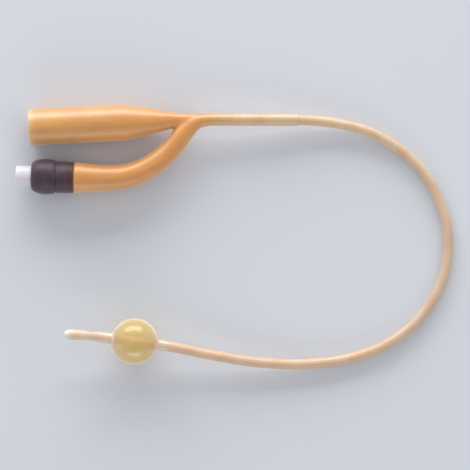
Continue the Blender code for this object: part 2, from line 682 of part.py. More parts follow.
def make_plunger(parts, axis, plastic):
    """The stem: a rod that a syringe's tip pushes, a head behind the seal and a guide through the spring."""
    profile = [
        (0, GUIDE_END),
        (GUIDE_RADIUS - STEM_EDGE, GUIDE_END),
        (GUIDE_RADIUS, GUIDE_END - STEM_EDGE),
        (GUIDE_RADIUS, HEAD_END),
        (HEAD_RADIUS, HEAD_END),
        (HEAD_RADIUS, HEAD_FRONT),
        (ROD_RADIUS, HEAD_FRONT),
        (ROD_RADIUS, ROD_START + STEM_EDGE),
        (ROD_RADIUS - STEM_EDGE, ROD_START),
        (0, ROD_START),
    ]
    return turned("valve_plunger", profile, SMALL_STEPS, parts, axis, plastic)


def make_seal(parts, axis, rubber):
    """The seal: a ring on the rod, with a cone face that closes on the body's seat."""
    inside = ROD_RADIUS + BOND_GAP
    profile = [
        (SEAL_RADIUS, SEAL_END),
        (SEAL_RADIUS, SEAL_SHOULDER),
        (THROAT_RADIUS + SEAL_LAND, SEAL_FRONT),
        (inside, SEAL_FRONT),
        (inside, SEAL_END),
    ]
    return turned("valve_seal", profile, SMALL_STEPS, parts, axis, rubber, ring=True)


def circle_spline(curve, x, y, radius, steps):
    """A closed outline of straight sides round a circle."""
    spline = curve.splines.new("POLY")
    spline.points.add(steps - 1)
    spline.use_cyclic_u = True
    for number, point in enumerate(spline.points):
        angle = 2 * math.pi * number / steps
        point.co = (x + radius * math.cos(angle), y + radius * math.sin(angle), 0, 1)


def make_retainer(parts, axis, plastic):
    """The disc that the spring stands on, held by the lip at the body's end, with holes for the guide and the flow."""
    curve = bpy.data.curves.new("valve_retainer", "CURVE")
    curve.dimensions = "2D"
    curve.fill_mode = "BOTH"
    curve.extrude = RETAINER_THICKNESS / 2
    outside = CHAMBER_RADIUS - BOND_GAP
    circle_spline(curve, 0, 0, outside, SMALL_STEPS)
    circle_spline(curve, 0, 0, RETAINER_HOLE_RADIUS, SMALL_STEPS // 2)
    ring = (outside + RETAINER_HOLE_RADIUS) / 2
    for number in range(FLOW_HOLE_COUNT):
        angle = 2 * math.pi * number / FLOW_HOLE_COUNT
        circle_spline(curve, ring * math.cos(angle), ring * math.sin(angle), FLOW_HOLE_RADIUS, LUMEN_SIDES)
    retainer = new_object("valve_retainer", curve, parts, axis, plastic)
    retainer.location.z = RETAINER_START + RETAINER_THICKNESS / 2
    return retainer


def make_spring(parts, axis, steel):
    """The closing spring, with a closed turn at each end, between the plunger's head and the retainer."""
    start = HEAD_END + RUNNING_GAP + SPRING_WIRE_RADIUS
    end = RETAINER_START - RUNNING_GAP - SPRING_WIRE_RADIUS
    closed = SPRING_CLOSED_TURNS * SPRING_CLOSED_PITCH
    turns = (0, SPRING_CLOSED_TURNS, SPRING_TURNS - SPRING_CLOSED_TURNS, SPRING_TURNS)
    heights = (start, start + closed, end - closed, end)
    places = []
    for step in range(SPRING_TURNS * SPRING_STEPS + 1):
        turn = step / SPRING_STEPS
        angle = 2 * math.pi * turn
        height = float(np.interp(turn, turns, heights))
        places.append((SPRING_RADIUS * math.cos(angle), SPRING_RADIUS * math.sin(angle), height))
    curve = tube_curve("valve_spring", places, [SPRING_WIRE_RADIUS] * len(places), SPRING_SIDES)
    curve.twist_mode = "MINIMUM"
    return new_object("valve_spring", curve, parts, axis, steel)


def main():
    clear_scene()
    parts = new_collection("foley_catheter")
    cutters = new_collection("cutters", hidden=True)
    pale_latex = new_material("pale_latex", (0.66, 0.44, 0.29), 0.42)
    amber_latex = new_material("amber_latex", (0.72, 0.39, 0.13), 0.38)
    thin_latex = new_material("thin_latex", (0.78, 0.62, 0.28), 0.25, alpha=0.7)
    dark_rubber = new_material("dark_rubber", (0.075, 0.045, 0.055), 0.5)
    white_plastic = new_material("white_plastic", (0.75, 0.74, 0.78), 0.35)
    clear_plastic = new_material("natural_plastic", (0.72, 0.72, 0.68), 0.4)
    seal_rubber = new_material("seal_rubber", (0.05, 0.05, 0.05), 0.6)
    spring_steel = new_material("spring_steel", (0.55, 0.55, 0.56), 0.3, metallic=1.0)

    root = new_object("catheter", None, parts, None)
    root.location = (START_X, START_Y, 0)
    axis = new_object("valve_axis", None, parts, root)
    mouth, inward = valve_mouth()
    point_along(axis, mouth, inward)

    route, balloon_at = shaft_route()
    make_shaft(route, balloon_at, parts, cutters, root, pale_latex)
    make_balloon(route, balloon_at, parts, root, thin_latex)
    make_connector(route, parts, cutters, root, amber_latex)
    make_collar(parts, axis, dark_rubber)
    make_body(parts, axis, white_plastic)
    make_plunger(parts, axis, clear_plastic)
    make_seal(parts, axis, seal_rubber)
    make_retainer(parts, axis, clear_plastic)
    make_spring(parts, axis, spring_steel)


main()
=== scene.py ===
"""A balloon catheter of amber latex, lying in one wide loop on a pale table and seen from straight above."""

import math

import bmesh
import bpy
import numpy as np
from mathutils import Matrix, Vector
from mathutils.bvhtree import BVHTree


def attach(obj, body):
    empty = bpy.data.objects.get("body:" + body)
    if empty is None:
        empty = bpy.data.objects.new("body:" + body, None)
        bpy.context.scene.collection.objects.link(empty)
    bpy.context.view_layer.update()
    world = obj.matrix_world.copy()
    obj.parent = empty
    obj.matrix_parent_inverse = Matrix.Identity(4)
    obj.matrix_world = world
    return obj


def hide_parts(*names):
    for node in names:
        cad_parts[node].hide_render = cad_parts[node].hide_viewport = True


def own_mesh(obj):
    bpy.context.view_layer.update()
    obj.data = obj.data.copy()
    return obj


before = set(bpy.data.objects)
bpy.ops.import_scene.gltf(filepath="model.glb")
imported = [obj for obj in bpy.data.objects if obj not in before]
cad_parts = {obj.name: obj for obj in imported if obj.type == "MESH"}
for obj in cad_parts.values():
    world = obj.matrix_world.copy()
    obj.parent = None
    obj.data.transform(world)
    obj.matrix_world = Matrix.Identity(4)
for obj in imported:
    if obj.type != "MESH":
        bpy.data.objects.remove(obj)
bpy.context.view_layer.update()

# ---------------------------------------------------------------------------------------------------------------
# Camera. It hangs straight above the loop and looks down, with the funnel's mouth to the left. The view is as
# wide as the named width at the height of the shaft's top.
# ---------------------------------------------------------------------------------------------------------------
VIEW_CENTRE = (0.03403, -0.03762)
VIEW_WIDTH = 0.2068
CAMERA_HEIGHT = 1.2
VIEW_LEVEL = 0.0045
SENSOR_WIDTH = 36.0

camera = bpy.data.objects.new("camera", bpy.data.cameras.new("camera"))
bpy.context.scene.collection.objects.link(camera)
camera.location = (*VIEW_CENTRE, CAMERA_HEIGHT)
camera.data.sensor_width = SENSOR_WIDTH
camera.data.lens = SENSOR_WIDTH * (CAMERA_HEIGHT - VIEW_LEVEL) / VIEW_WIDTH
camera.data.clip_start = 0.01
bpy.context.scene.camera = camera

# ---------------------------------------------------------------------------------------------------------------
# Shaft. An extruded latex tube with a closed, rounded nose, a wide drainage lumen and a thin inflation lumen
# in its wall. Two rounded eyes are punched through its sides near the nose. It lies free in a wide bend: it
# comes straight out of the moulded sleeve, settles on the table and climbs a little to the filled balloon.
# ---------------------------------------------------------------------------------------------------------------
SHAFT_RADIUS = 0.00225
SHAFT_SPACING = 0.0015
SHAFT_SIDES = 40
WAY_STEPS = 16
HEADING_REACH = 0.0003
SHAFT_WAY = (
    (0.0340, 0.0130, 0.00749), (0.0460, 0.0130, 0.00673), (0.0580, 0.0130, 0.00576), (0.0670, 0.0128, 0.00495),
    (0.0760, 0.0119, 0.00421), (0.0858, 0.0101, 0.00349), (0.0938, 0.0075, 0.00300), (0.1014, 0.0036, 0.00262),
    (0.1084, -0.0012, 0.00239), (0.1146, -0.0070, 0.00228), (0.1197, -0.0136, 0.00225), (0.1236, -0.0212, 0.00225),
    (0.1264, -0.0290, 0.00225), (0.1279, -0.0373, 0.00225), (0.1279, -0.0457, 0.00225), (0.1265, -0.0540, 0.00225),
    (0.1237, -0.0617, 0.00225), (0.1196, -0.0690, 0.00225), (0.1143, -0.0755, 0.00225), (0.1080, -0.0811, 0.00227),
    (0.1010, -0.0857, 0.00233), (0.0936, -0.0892, 0.00243), (0.0856, -0.0917, 0.00256), (0.0774, -0.0933, 0.00277),
    (0.0691, -0.0942, 0.00307), (0.0607, -0.0945, 0.00347), (0.0523, -0.0943, 0.00399), (0.0439, -0.0936, 0.00465),
    (0.0357, -0.0925, 0.00541), (0.0274, -0.0910, 0.00629), (0.0191, -0.0894, 0.00722), (0.0118, -0.0878, 0.00805),
    (0.0054, -0.0865, 0.00873), (-0.0023, -0.0854, 0.00949), (-0.0100, -0.0843, 0.01025),
    (-0.0177, -0.0832, 0.01101), (-0.0254, -0.0821, 0.01177), (-0.0305, -0.0816, 0.01223),
    (-0.0357, -0.0812, 0.01265), (-0.0409, -0.0810, 0.01302),
)
NOSE_LENGTH = 0.0032
NOSE_RINGS = 12
NOSE_POLE = 0.00006
DRAIN_LUMEN_RADIUS = 0.00115
DRAIN_LUMEN_OFFSET = 0.00045
INFLATE_LUMEN_RADIUS = 0.00036
INFLATE_LUMEN_OFFSET = 0.00135
INFLATE_LUMEN_FROM_TIP = 0.0302
LUMEN_SIDES = 20
EYE_FROM_TIP = 0.0120
EYE_LENGTH = 0.0052
EYE_WIDTH = 0.0022
EYE_FLARE = 1.35
EYE_FLARE_ARC = (20, 75)
EYE_PUNCH_SPREAD = 1.1
EYE_STEPS = 40
LUMEN_PAST_EYE = 0.0048
LUMEN_END_LENGTH = 0.0009
LUMEN_END_RADIUS = 0.0006
CUT_PAST = 0.002
SLIVER = 0.000002
WELD = 0.000001


class Way:
    """A smooth curve through given points, by distance along it."""

    def __init__(self, points):
        given = np.array(points, float)
        given = np.vstack([2 * given[0] - given[1], given, 2 * given[-1] - given[-2]])
        curve = []
        for before, start, end, after in zip(given, given[1:], given[2:], given[3:]):
            for share in np.arange(WAY_STEPS) / WAY_STEPS:
                bend = 2 * before - 5 * start + 4 * end - after
                twist = 3 * start - before - 3 * end + after
                curve.append(start + 0.5 * ((end - before) * share + bend * share**2 + twist * share**3))
        self.points = np.array(curve + [given[-2]])
        self.marks = np.concatenate([[0.0], np.cumsum(np.linalg.norm(np.diff(self.points, axis=0), axis=1))])
        self.length = float(self.marks[-1])

    def on(self, distance):
        return Vector([np.interp(distance, self.marks, column) for column in self.points.T])

    def heading(self, distance):
        middle = min(max(distance, HEADING_REACH), self.length - HEADING_REACH)
        return (self.on(middle + HEADING_REACH) - self.on(middle - HEADING_REACH)).normalized()

    def right(self, distance):
        return self.heading(distance).cross(Vector((0, 0, 1))).normalized()

    def at(self, distance, right=0.0):
        """The place at this distance, moved sideways, and straight on past either end."""
        inside = min(max(distance, 0.0), self.length)
        return self.on(inside) + self.heading(inside) * (distance - inside) + self.right(inside) * right

    def spread(self, start, end, spacing):
        return list(np.linspace(start, end, max(2, round((end - start) / spacing) + 1)))


def add(tree, kind, inputs=None, **settings):
    """A node with its settings, and with its inputs given by name or number as values or as other nodes' outputs."""
    node = tree.nodes.new(kind)
    for name, value in settings.items():
        setattr(node, name, value)
    for key, value in (inputs or {}).items():
        if isinstance(value, bpy.types.NodeSocket):
            tree.links.new(value, node.inputs[key])
        else:
            node.inputs[key].default_value = value
    return node


def tube_tree():
    """Geometry nodes that sweep a ring along a line of points, as wide at each point as its attribute says."""
    tree = bpy.data.node_groups.new("swept_tube", "GeometryNodeTree")
    tree.interface.new_socket("Geometry", in_out="INPUT", socket_type="NodeSocketGeometry")
    tree.interface.new_socket("Sides", in_out="INPUT", socket_type="NodeSocketInt")
    tree.interface.new_socket("Material", in_out="INPUT", socket_type="NodeSocketMaterial")
    tree.interface.new_socket("Geometry", in_out="OUTPUT", socket_type="NodeSocketGeometry")
    given = add(tree, "NodeGroupInput")
    line = add(tree, "GeometryNodeMeshToCurve", {"Mesh": given.outputs["Geometry"]})
    upright = add(tree, "GeometryNodeSetCurveNormal", {"Curve": line.outputs[0]}, mode="Z_UP")
    ring = add(tree, "GeometryNodeCurvePrimitiveCircle", {"Resolution": given.outputs["Sides"], "Radius": 1.0})
    width = add(tree, "GeometryNodeInputNamedAttribute", {"Name": "tube_radius"}, data_type="FLOAT")
    swept = add(tree, "GeometryNodeCurveToMesh", {
        "Curve": upright.outputs[0], "Profile Curve": ring.outputs[0],
        "Scale": width.outputs["Attribute"], "Fill Caps": True,
    })
    plain = add(tree, "GeometryNodeRealizeInstances", {0: swept.outputs[0]})
    coated = add(tree, "GeometryNodeSetMaterial", {
        "Geometry": plain.outputs[0], "Material": given.outputs["Material"],
    })
    add(tree, "NodeGroupOutput", {"Geometry": coated.outputs[0]})
    return tree


SWEPT_TUBE = tube_tree()


def new_piece(name, mesh):
    """An object for the mesh, at the origin and in the scene."""
    piece = bpy.data.objects.new(name, mesh)
    bpy.context.scene.collection.objects.link(piece)
    return piece


def settle(piece):
    """Turns what a piece's modifiers make into its own plain mesh, welded and facing outwards."""
    bpy.context.view_layer.update()
    graph = bpy.context.evaluated_depsgraph_get()
    mesh = bpy.data.meshes.new_from_object(piece.evaluated_get(graph))
    piece.modifiers.clear()
    piece.data = mesh
    shell = bmesh.new()
    shell.from_mesh(mesh)
    bmesh.ops.remove_doubles(shell, verts=shell.verts, dist=WELD)
    bmesh.ops.recalc_face_normals(shell, faces=shell.faces)
    shell.to_mesh(mesh)
    shell.free()
    mesh.name = piece.name
    return piece


def swept(name, places, radii, sides, material=None):
    """A closed tube along the places, with its own radius at each."""
    mesh = bpy.data.meshes.new(name)
    mesh.from_pydata([tuple(place) for place in places], [(i, i + 1) for i in range(len(places) - 1)], [])
    mesh.attributes.new("tube_radius", "FLOAT", "POINT").data.foreach_set("value", np.array(radii, np.float32))
    piece = new_piece(name, mesh)
    sweep = piece.modifiers.new("sweep", "NODES")
    sweep.node_group = SWEPT_TUBE
    for socket, value in (("Sides", sides), ("Material", material)):
        sweep[SWEPT_TUBE.interface.items_tree[socket].identifier] = value
    return settle(piece)


def turned(name, profile, steps, start, along, loop=False, across=None, flat=1.0):
    """A profile of (distance along the axis, radius), turned about it. A loop's last point joins its first."""
    along = Vector(along).normalized()
    side = Vector(across or (0, 0, 1))
    side = (side - along * side.dot(along)).normalized()
    other = along.cross(side)
    angles = np.arange(steps) * 2 * math.pi / steps
    ring = np.outer(np.cos(angles) * flat, side) + np.outer(np.sin(angles), other)
    places = np.vstack([np.array(start) + np.array(along) * d + ring * max(r, 0.0) for d, r in profile])
    count = len(profile)
    faces = []
    for row in range(count if loop else count - 1):
        upper, lower = row * steps, (row + 1) % count * steps
        for step in range(steps):
            after = (step + 1) % steps
            faces.append((upper + step, lower + step, lower + after, upper + after))
    mesh = bpy.data.meshes.new(name)
    mesh.from_pydata(places.tolist(), [], faces)
    return settle(new_piece(name, mesh))


def cut(piece, *cores):
    """Takes each core out of the piece, and leaves triangles with no slivers along the cuts."""
    for core in cores:
        knife = piece.modifiers.new(core.name, "BOOLEAN")
        knife.operation = "DIFFERENCE"
        knife.object = core
    settle(piece)
    for core in cores:
        bpy.data.objects.remove(core)
    shell = bmesh.new()
    shell.from_mesh(piece.data)
    bmesh.ops.triangulate(shell, faces=shell.faces)
    bmesh.ops.dissolve_degenerate(shell, dist=SLIVER, edges=shell.edges)
    shell.to_mesh(piece.data)
    shell.free()
    return piece


def finish_surface(piece, material, crease=38):
    """Smooth shading up to the creases, and the piece's one material."""
    mesh = piece.data
    mesh.materials.clear()
    mesh.materials.append(material)
    mesh.polygons.foreach_set("material_index", np.zeros(len(mesh.polygons), np.int32))
    mesh.shade_smooth()
    mesh.set_sharp_from_angle(angle=math.radians(crease))
    return piece


def paint(red, green, blue):
    """A colour given as it looks on a screen, from 0 to 255, as the shader wants it."""
    light = [(v / 255 / 12.92) if v <= 10 else ((v / 255 + 0.055) / 1.055) ** 2.4 for v in (red, green, blue)]
    return (*light, 1.0)


def new_material(name, **plain):
    """A material and its node tree and shader, with the shader's own plain values set."""
    material = bpy.data.materials.new(name)
    material.use_nodes = True
    shader = material.node_tree.nodes["Principled BSDF"]
    for key, value in plain.items():
        shader.inputs[key.replace("_", " ")].default_value = value
    return material, material.node_tree, shader


def mixed(tree, share, first, second, how="MIX"):
    """The first colour, with this share of the second laid over it."""
    node = add(tree, "ShaderNodeMix", {0: share, 6: first, 7: second}, data_type="RGBA", blend_type=how)
    return node.outputs[2]


def eased(tree, value, low, high, to_low=0.0, to_high=1.0):
    """The value brought smoothly from one range to another."""
    node = add(tree, "ShaderNodeMapRange", {0: value, 1: low, 2: high, 3: to_low, 4: to_high})
    node.interpolation_type = "SMOOTHSTEP"
    return node.outputs[0]


def reckon(tree, how, first, second=0.0, third=0.0):
    """A sum of two or three values, of the kind that how names."""
    return add(tree, "ShaderNodeMath", {0: first, 1: second, 2: third}, operation=how).outputs[0]


def noise(tree, place, scale, detail=3.0, rough=0.5, stretch=None):
    """Noise about 1/scale metres in size, and longer along an axis where stretch is below one."""
    if stretch:
        place = add(tree, "ShaderNodeMapping", {"Vector": place, "Scale": stretch}).outputs[0]
    inputs = {"Vector": place, "Scale": scale, "Detail": detail, "Roughness": rough}
    return add(tree, "ShaderNodeTexNoise", inputs).outputs[0]


def new_group(name, inputs, outputs):
    """A shader node group with named sockets, and its input and output nodes."""
    tree = bpy.data.node_groups.new(name, "ShaderNodeTree")
    kinds = {"c": "NodeSocketColor", "v": "NodeSocketVector", "f": "NodeSocketFloat"}
    for side, sockets in (("INPUT", inputs), ("OUTPUT", outputs)):
        for socket, kind in sockets:
            tree.interface.new_socket(socket, in_out=side, socket_type=kinds[kind])
    return tree, add(tree, "NodeGroupInput").outputs, add(tree, "NodeGroupOutput").inputs


def latex_skin_tree():
    """How dipped and extruded latex looks close to: cloudy mottling, flow streaks, fine specks and a soft grain."""
    tree, given, out = new_group(
        "latex_skin",
        (("Place", "v"), ("Stretched Place", "v"), ("Colour", "c"), ("Deep Colour", "c"), ("Pale Colour", "c"),
         ("Cloud Scale", "f"), ("Clouds", "f"), ("Streaks", "f")),
        (("Colour", "c"), ("Roughness", "f"), ("Height", "f")),
    )
    place = given["Place"]
    clouds = noise(tree, place, given["Cloud Scale"], 4.0, 0.55)
    streaks = noise(tree, given["Stretched Place"], 1500.0, 3.0, 0.6)
    cloudy = reckon(tree, "MULTIPLY", eased(tree, clouds, 0.34, 0.74), given["Clouds"])
    colour = mixed(tree, cloudy, given["Colour"], given["Deep Colour"])
    lines = reckon(tree, "MULTIPLY", eased(tree, streaks, 0.45, 0.8), given["Streaks"])
    colour = mixed(tree, lines, colour, given["Pale Colour"])
    motes = add(tree, "ShaderNodeTexVoronoi", {"Vector": place, "Scale": 900.0, "Randomness": 1.0})
    sparse = eased(tree, noise(tree, place, 420.0, 2.0), 0.52, 0.68)
    specks = reckon(tree, "MULTIPLY", eased(tree, motes.outputs["Distance"], 0.20, 0.10), sparse)
    colour = mixed(tree, reckon(tree, "MULTIPLY", specks, 0.20), colour, given["Deep Colour"], "MULTIPLY")
    grain = noise(tree, place, 3800.0, 3.0, 0.6)
    dimples = noise(tree, place, 700.0, 2.0, 0.5)
    rough = reckon(tree, "MULTIPLY_ADD", clouds, 0.16, 0.28)
    rough = reckon(tree, "MULTIPLY_ADD", grain, 0.12, rough)
    height = reckon(tree, "MULTIPLY_ADD", grain, 0.12, reckon(tree, "MULTIPLY", dimples, 0.55))
    height = reckon(tree, "MULTIPLY_ADD", streaks, 0.25, height)
    tree.links.new(colour, out["Colour"])
    tree.links.new(rough, out["Roughness"])
    tree.links.new(height, out["Height"])
    return tree


LATEX_SKIN = latex_skin_tree()


def coat_with(tree, shader, group, inputs, bump):
    """Lays a surface group over a shader: its colour, its roughness, and its height as a bump this deep."""
    skin = tree.nodes.new("ShaderNodeGroup")
    skin.node_tree = group
    for key, value in inputs.items():
        if isinstance(value, bpy.types.NodeSocket):
            tree.links.new(value, skin.inputs[key])
        else:
            skin.inputs[key].default_value = value
    tree.links.new(skin.outputs["Roughness"], shader.inputs["Roughness"])
    relief = add(tree, "ShaderNodeBump", {"Strength": 0.6, "Distance": bump, "Height": skin.outputs["Height"]})
    tree.links.new(relief.outputs[0], shader.inputs["Normal"])
    return skin.outputs["Colour"]


# The shaft is cream with a pink cast, yellower by the sleeve and more of a peach colour on the lower run
shaft_latex, tree, shader = new_material(
    "shaft_latex", Subsurface_Weight=0.25, Subsurface_Radius=(0.0016, 0.0008, 0.0004), Subsurface_Scale=1.0,
    Coat_Weight=0.35, Coat_Roughness=0.36, Sheen_Weight=0.35, Sheen_Roughness=0.4, Sheen_Tint=paint(255, 240, 226),
)
tube_place = add(tree, "ShaderNodeAttribute", attribute_name="tube_place").outputs["Vector"]
along_shaft = add(tree, "ShaderNodeSeparateXYZ", {0: tube_place}).outputs[2]
near_sleeve = eased(tree, along_shaft, 0.020, 0.110)
late_run = eased(tree, along_shaft, 0.120, 0.260)
body = mixed(tree, near_sleeve, paint(228, 198, 160), paint(224, 196, 168))
body = mixed(tree, late_run, body, paint(228, 192, 158))
body = mixed(tree, eased(tree, along_shaft, 0.270, 0.305), body, paint(234, 210, 188))
# The nose is painted near-white: a painted highlight on its rounded end.
body = mixed(tree, eased(tree, along_shaft, 0.3170, 0.3230), body, paint(250, 244, 241))
lengthwise = add(tree, "ShaderNodeMapping", {"Vector": tube_place, "Scale": (1.0, 1.0, 0.03)}).outputs[0]
colour = coat_with(tree, shader, LATEX_SKIN, {
    "Place": tube_place, "Stretched Place": lengthwise, "Colour": body, "Deep Colour": paint(206, 164, 126),
    "Pale Colour": paint(232, 208, 182), "Cloud Scale": 110.0, "Clouds": 0.5, "Streaks": 0.40,
}, bump=0.00010)
tree.links.new(colour, shader.inputs["Base Color"])

shaft_way = Way(SHAFT_WAY)
nose_start = shaft_way.length - NOSE_LENGTH
distances = shaft_way.spread(0.0, nose_start, SHAFT_SPACING)
radii = [SHAFT_RADIUS] * len(distances)
for angle in np.radians(np.linspace(0, 90, NOSE_RINGS + 1))[1:]:
    distances.append(nose_start + NOSE_LENGTH * math.sin(angle))
    radii.append(max(SHAFT_RADIUS * math.cos(angle), NOSE_POLE))
shaft_places = [shaft_way.at(distance) for distance in distances]
shaft = swept("shaft_tube", shaft_places, radii, SHAFT_SIDES, shaft_latex)

eye_at = shaft_way.length - EYE_FROM_TIP
lumen_end = eye_at + LUMEN_PAST_EYE
distances = shaft_way.spread(-CUT_PAST, lumen_end, SHAFT_SPACING * 2)
places = [shaft_way.at(distance, right=-DRAIN_LUMEN_OFFSET) for distance in distances]
places.append(shaft_way.at(lumen_end + LUMEN_END_LENGTH, right=-DRAIN_LUMEN_OFFSET))
radii = [DRAIN_LUMEN_RADIUS] * len(distances) + [LUMEN_END_RADIUS]
drain_lumen = swept("drain_lumen", places, radii, LUMEN_SIDES)
distances = shaft_way.spread(-CUT_PAST, shaft_way.length - INFLATE_LUMEN_FROM_TIP, SHAFT_SPACING * 2)
places = [shaft_way.at(distance, right=INFLATE_LUMEN_OFFSET) for distance in distances]
inflate_lumen = swept("inflate_lumen", places, [INFLATE_LUMEN_RADIUS] * len(places), LUMEN_SIDES // 2)
half_eye = EYE_WIDTH / 2
outside = SHAFT_RADIUS + CUT_PAST
flare = [(SHAFT_RADIUS * math.cos(a), half_eye * (1 + (EYE_FLARE - 1) * (1 - math.sin(a))))
         for a in np.radians(np.linspace(*EYE_FLARE_ARC, 6))]
half = [(outside, half_eye * EYE_FLARE * EYE_PUNCH_SPREAD)] + flare
punch_profile = [(outside, 0.0)] + half + [(-d, r) for d, r in reversed(half)] + [(-outside, 0.0)]
eye_punch = turned(
    "eye_punch", punch_profile, EYE_STEPS, shaft_way.at(eye_at), shaft_way.right(eye_at),
    across=shaft_way.heading(eye_at), flat=EYE_LENGTH / EYE_WIDTH,
)
cut(shaft, drain_lumen, inflate_lumen, eye_punch)
finish_surface(shaft, shaft_latex)


def corners_of(piece):
    """The places of a piece's points, a row for each."""
    spots = np.empty(len(piece.data.vertices) * 3)
    piece.data.vertices.foreach_get("co", spots)
    return spots.reshape(-1, 3)


def laid_along(way, spots, block=2000):
    """Each place as it would be if the way were straight: right of it, above it and along it. Also how far off."""
    axis = way.points
    headings = np.gradient(axis, axis=0)
    headings /= np.linalg.norm(headings, axis=1)[:, None]
    rights = np.cross(headings, (0.0, 0.0, 1.0))
    rights /= np.linalg.norm(rights, axis=1)[:, None]
    ups = np.cross(rights, headings)
    near = np.empty(len(spots), np.int64)
    for start in range(0, len(spots), block):
        gaps = ((spots[start:start + block, None, :] - axis[None, :, :]) ** 2).sum(axis=2)
        near[start:start + block] = np.argmin(gaps, axis=1)
    offsets = spots - axis[near]
    sideways, upwards = (offsets * rights[near]).sum(axis=1), (offsets * ups[near]).sum(axis=1)
    along = way.marks[near] + (offsets * headings[near]).sum(axis=1)
    return np.stack([sideways, upwards, along], axis=1), np.hypot(sideways, upwards)


def keep_on_points(piece, name, rows):
    """Keeps a value or a place for each of a piece's points, under a name that its material reads."""
    if rows.ndim == 2:
        kept = piece.data.attributes.new(name, "FLOAT_VECTOR", "POINT")
        kept.data.foreach_set("vector", rows.astype(np.float32).ravel())
    else:
        piece.data.attributes.new(name, "FLOAT", "POINT").data.foreach_set("value", rows.astype(np.float32))


keep_on_points(shaft, "tube_place", laid_along(shaft_way, corners_of(shaft))[0])
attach(shaft, "catheter")
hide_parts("shaft")

# ---------------------------------------------------------------------------------------------------------------
# Balloon. A thin latex sleeve bonded to the shaft by a cuff at each end and blown up to a round ball. The wall
# is stretched thin and clear at the equator, where the shaft shows through it, and stays thick at the cuffs.
# ---------------------------------------------------------------------------------------------------------------
BALLOON_CENTRE = (-0.0100, -0.0843, 0.01025)
BALLOON_HEADING = (-0.98529, 0.14023, 0.09758)
BALLOON_RADIUS = 0.01025
BALLOON_WALL = 0.00020
CUFF_RADIUS = SHAFT_RADIUS + 0.00022
CUFF_LENGTH = 0.0042
CUFF_FILLET = 0.0010
CUFF_END_WALL = 0.00008
CUFF_BORE = SHAFT_RADIUS + 0.00002
CUFF_BORE_LENGTH = 0.0020
CUFF_TAPER = 0.0008
BALLOON_STEPS = 96
BALLOON_ARC_STEPS = 28
FILLET_STEPS = 8
THIN_WALL_ALPHA = 0.34
RIM_ALPHA = 0.96


def arc(centre, centre_radius, radius, start, end, steps):
    """Points of a profile on an arc, with angles in degrees from the outward direction towards the axis's end."""
    angles = np.radians(np.linspace(start, end, steps + 1))
    return [(centre + radius * math.sin(a), centre_radius + radius * math.cos(a)) for a in angles]


def balloon_half(inset):
    """Half the profile, from the equator over the ball and the fillet to the thinned end of one cuff."""
    fillet_radius = CUFF_RADIUS + CUFF_FILLET
    reach = math.sqrt((BALLOON_RADIUS + CUFF_FILLET) ** 2 - fillet_radius**2)
    meeting = math.degrees(math.atan2(reach, fillet_radius))
    side = arc(0, 0, BALLOON_RADIUS - inset, 0, meeting, BALLOON_ARC_STEPS)
    side += arc(reach, fillet_radius, CUFF_FILLET + inset, 180 + meeting, 180, FILLET_STEPS)[1:]
    cuff_end = reach + CUFF_LENGTH
    if inset:
        return side + [(cuff_end - CUFF_BORE_LENGTH, CUFF_BORE), (cuff_end, CUFF_BORE)]
    return side + [(cuff_end - CUFF_TAPER, CUFF_BORE + 2 * CUFF_END_WALL), (cuff_end, CUFF_BORE + CUFF_END_WALL)]


outer, inner = balloon_half(0.0), balloon_half(BALLOON_WALL)
profile = [(-d, r) for d, r in reversed(outer[1:])] + outer + inner[::-1] + [(-d, r) for d, r in inner[1:]]
balloon = turned("balloon_sleeve", profile, BALLOON_STEPS, BALLOON_CENTRE, BALLOON_HEADING, loop=True)

thin_latex, tree, shader = new_material(
    "balloon_latex", Coat_Weight=1.0, Coat_Roughness=0.16, Coat_IOR=1.9, Sheen_Weight=1.0, Sheen_Roughness=0.7,
    Sheen_Tint=paint(255, 252, 248), Subsurface_Weight=0.2, Subsurface_Radius=(0.0012, 0.0009, 0.0004),
    Subsurface_Scale=1.0,
)
place = add(tree, "ShaderNodeTexCoord").outputs["Object"]
stretch = add(tree, "ShaderNodeAttribute", attribute_name="stretch").outputs["Fac"]
body = mixed(tree, eased(tree, stretch, 0.0, 0.08), paint(224, 190, 158), paint(242, 168, 70))
body = mixed(tree, eased(tree, stretch, 0.16, 0.60), body, paint(250, 210, 48))
colour = coat_with(tree, shader, LATEX_SKIN, {
    "Place": place, "Stretched Place": place, "Colour": body, "Deep Colour": paint(234, 182, 40),
    "Pale Colour": paint(250, 234, 176), "Cloud Scale": 200.0, "Clouds": 0.35, "Streaks": 0.12,
}, bump=0.00002)
tree.links.new(colour, shader.inputs["Base Color"])
edge_on = add(tree, "ShaderNodeLayerWeight", {"Blend": 0.5}).outputs["Facing"]
thick = reckon(tree, "MAXIMUM", eased(tree, edge_on, 0.40, 0.88, THIN_WALL_ALPHA, RIM_ALPHA),
               eased(tree, stretch, 0.02, 0.50, 1.0, THIN_WALL_ALPHA))
tree.links.new(thick, shader.inputs["Alpha"])

from_centre = corners_of(balloon) - np.array(BALLOON_CENTRE)
lengthwise_part = from_centre @ np.array(BALLOON_HEADING)
widths = np.linalg.norm(from_centre - np.outer(lengthwise_part, BALLOON_HEADING), axis=1)
stretches = np.clip((widths - CUFF_RADIUS) / (BALLOON_RADIUS - CUFF_RADIUS), 0.0, 1.0)
keep_on_points(balloon, "stretch", stretches)
finish_surface(balloon, thin_latex)
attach(balloon, "catheter")
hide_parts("balloon")

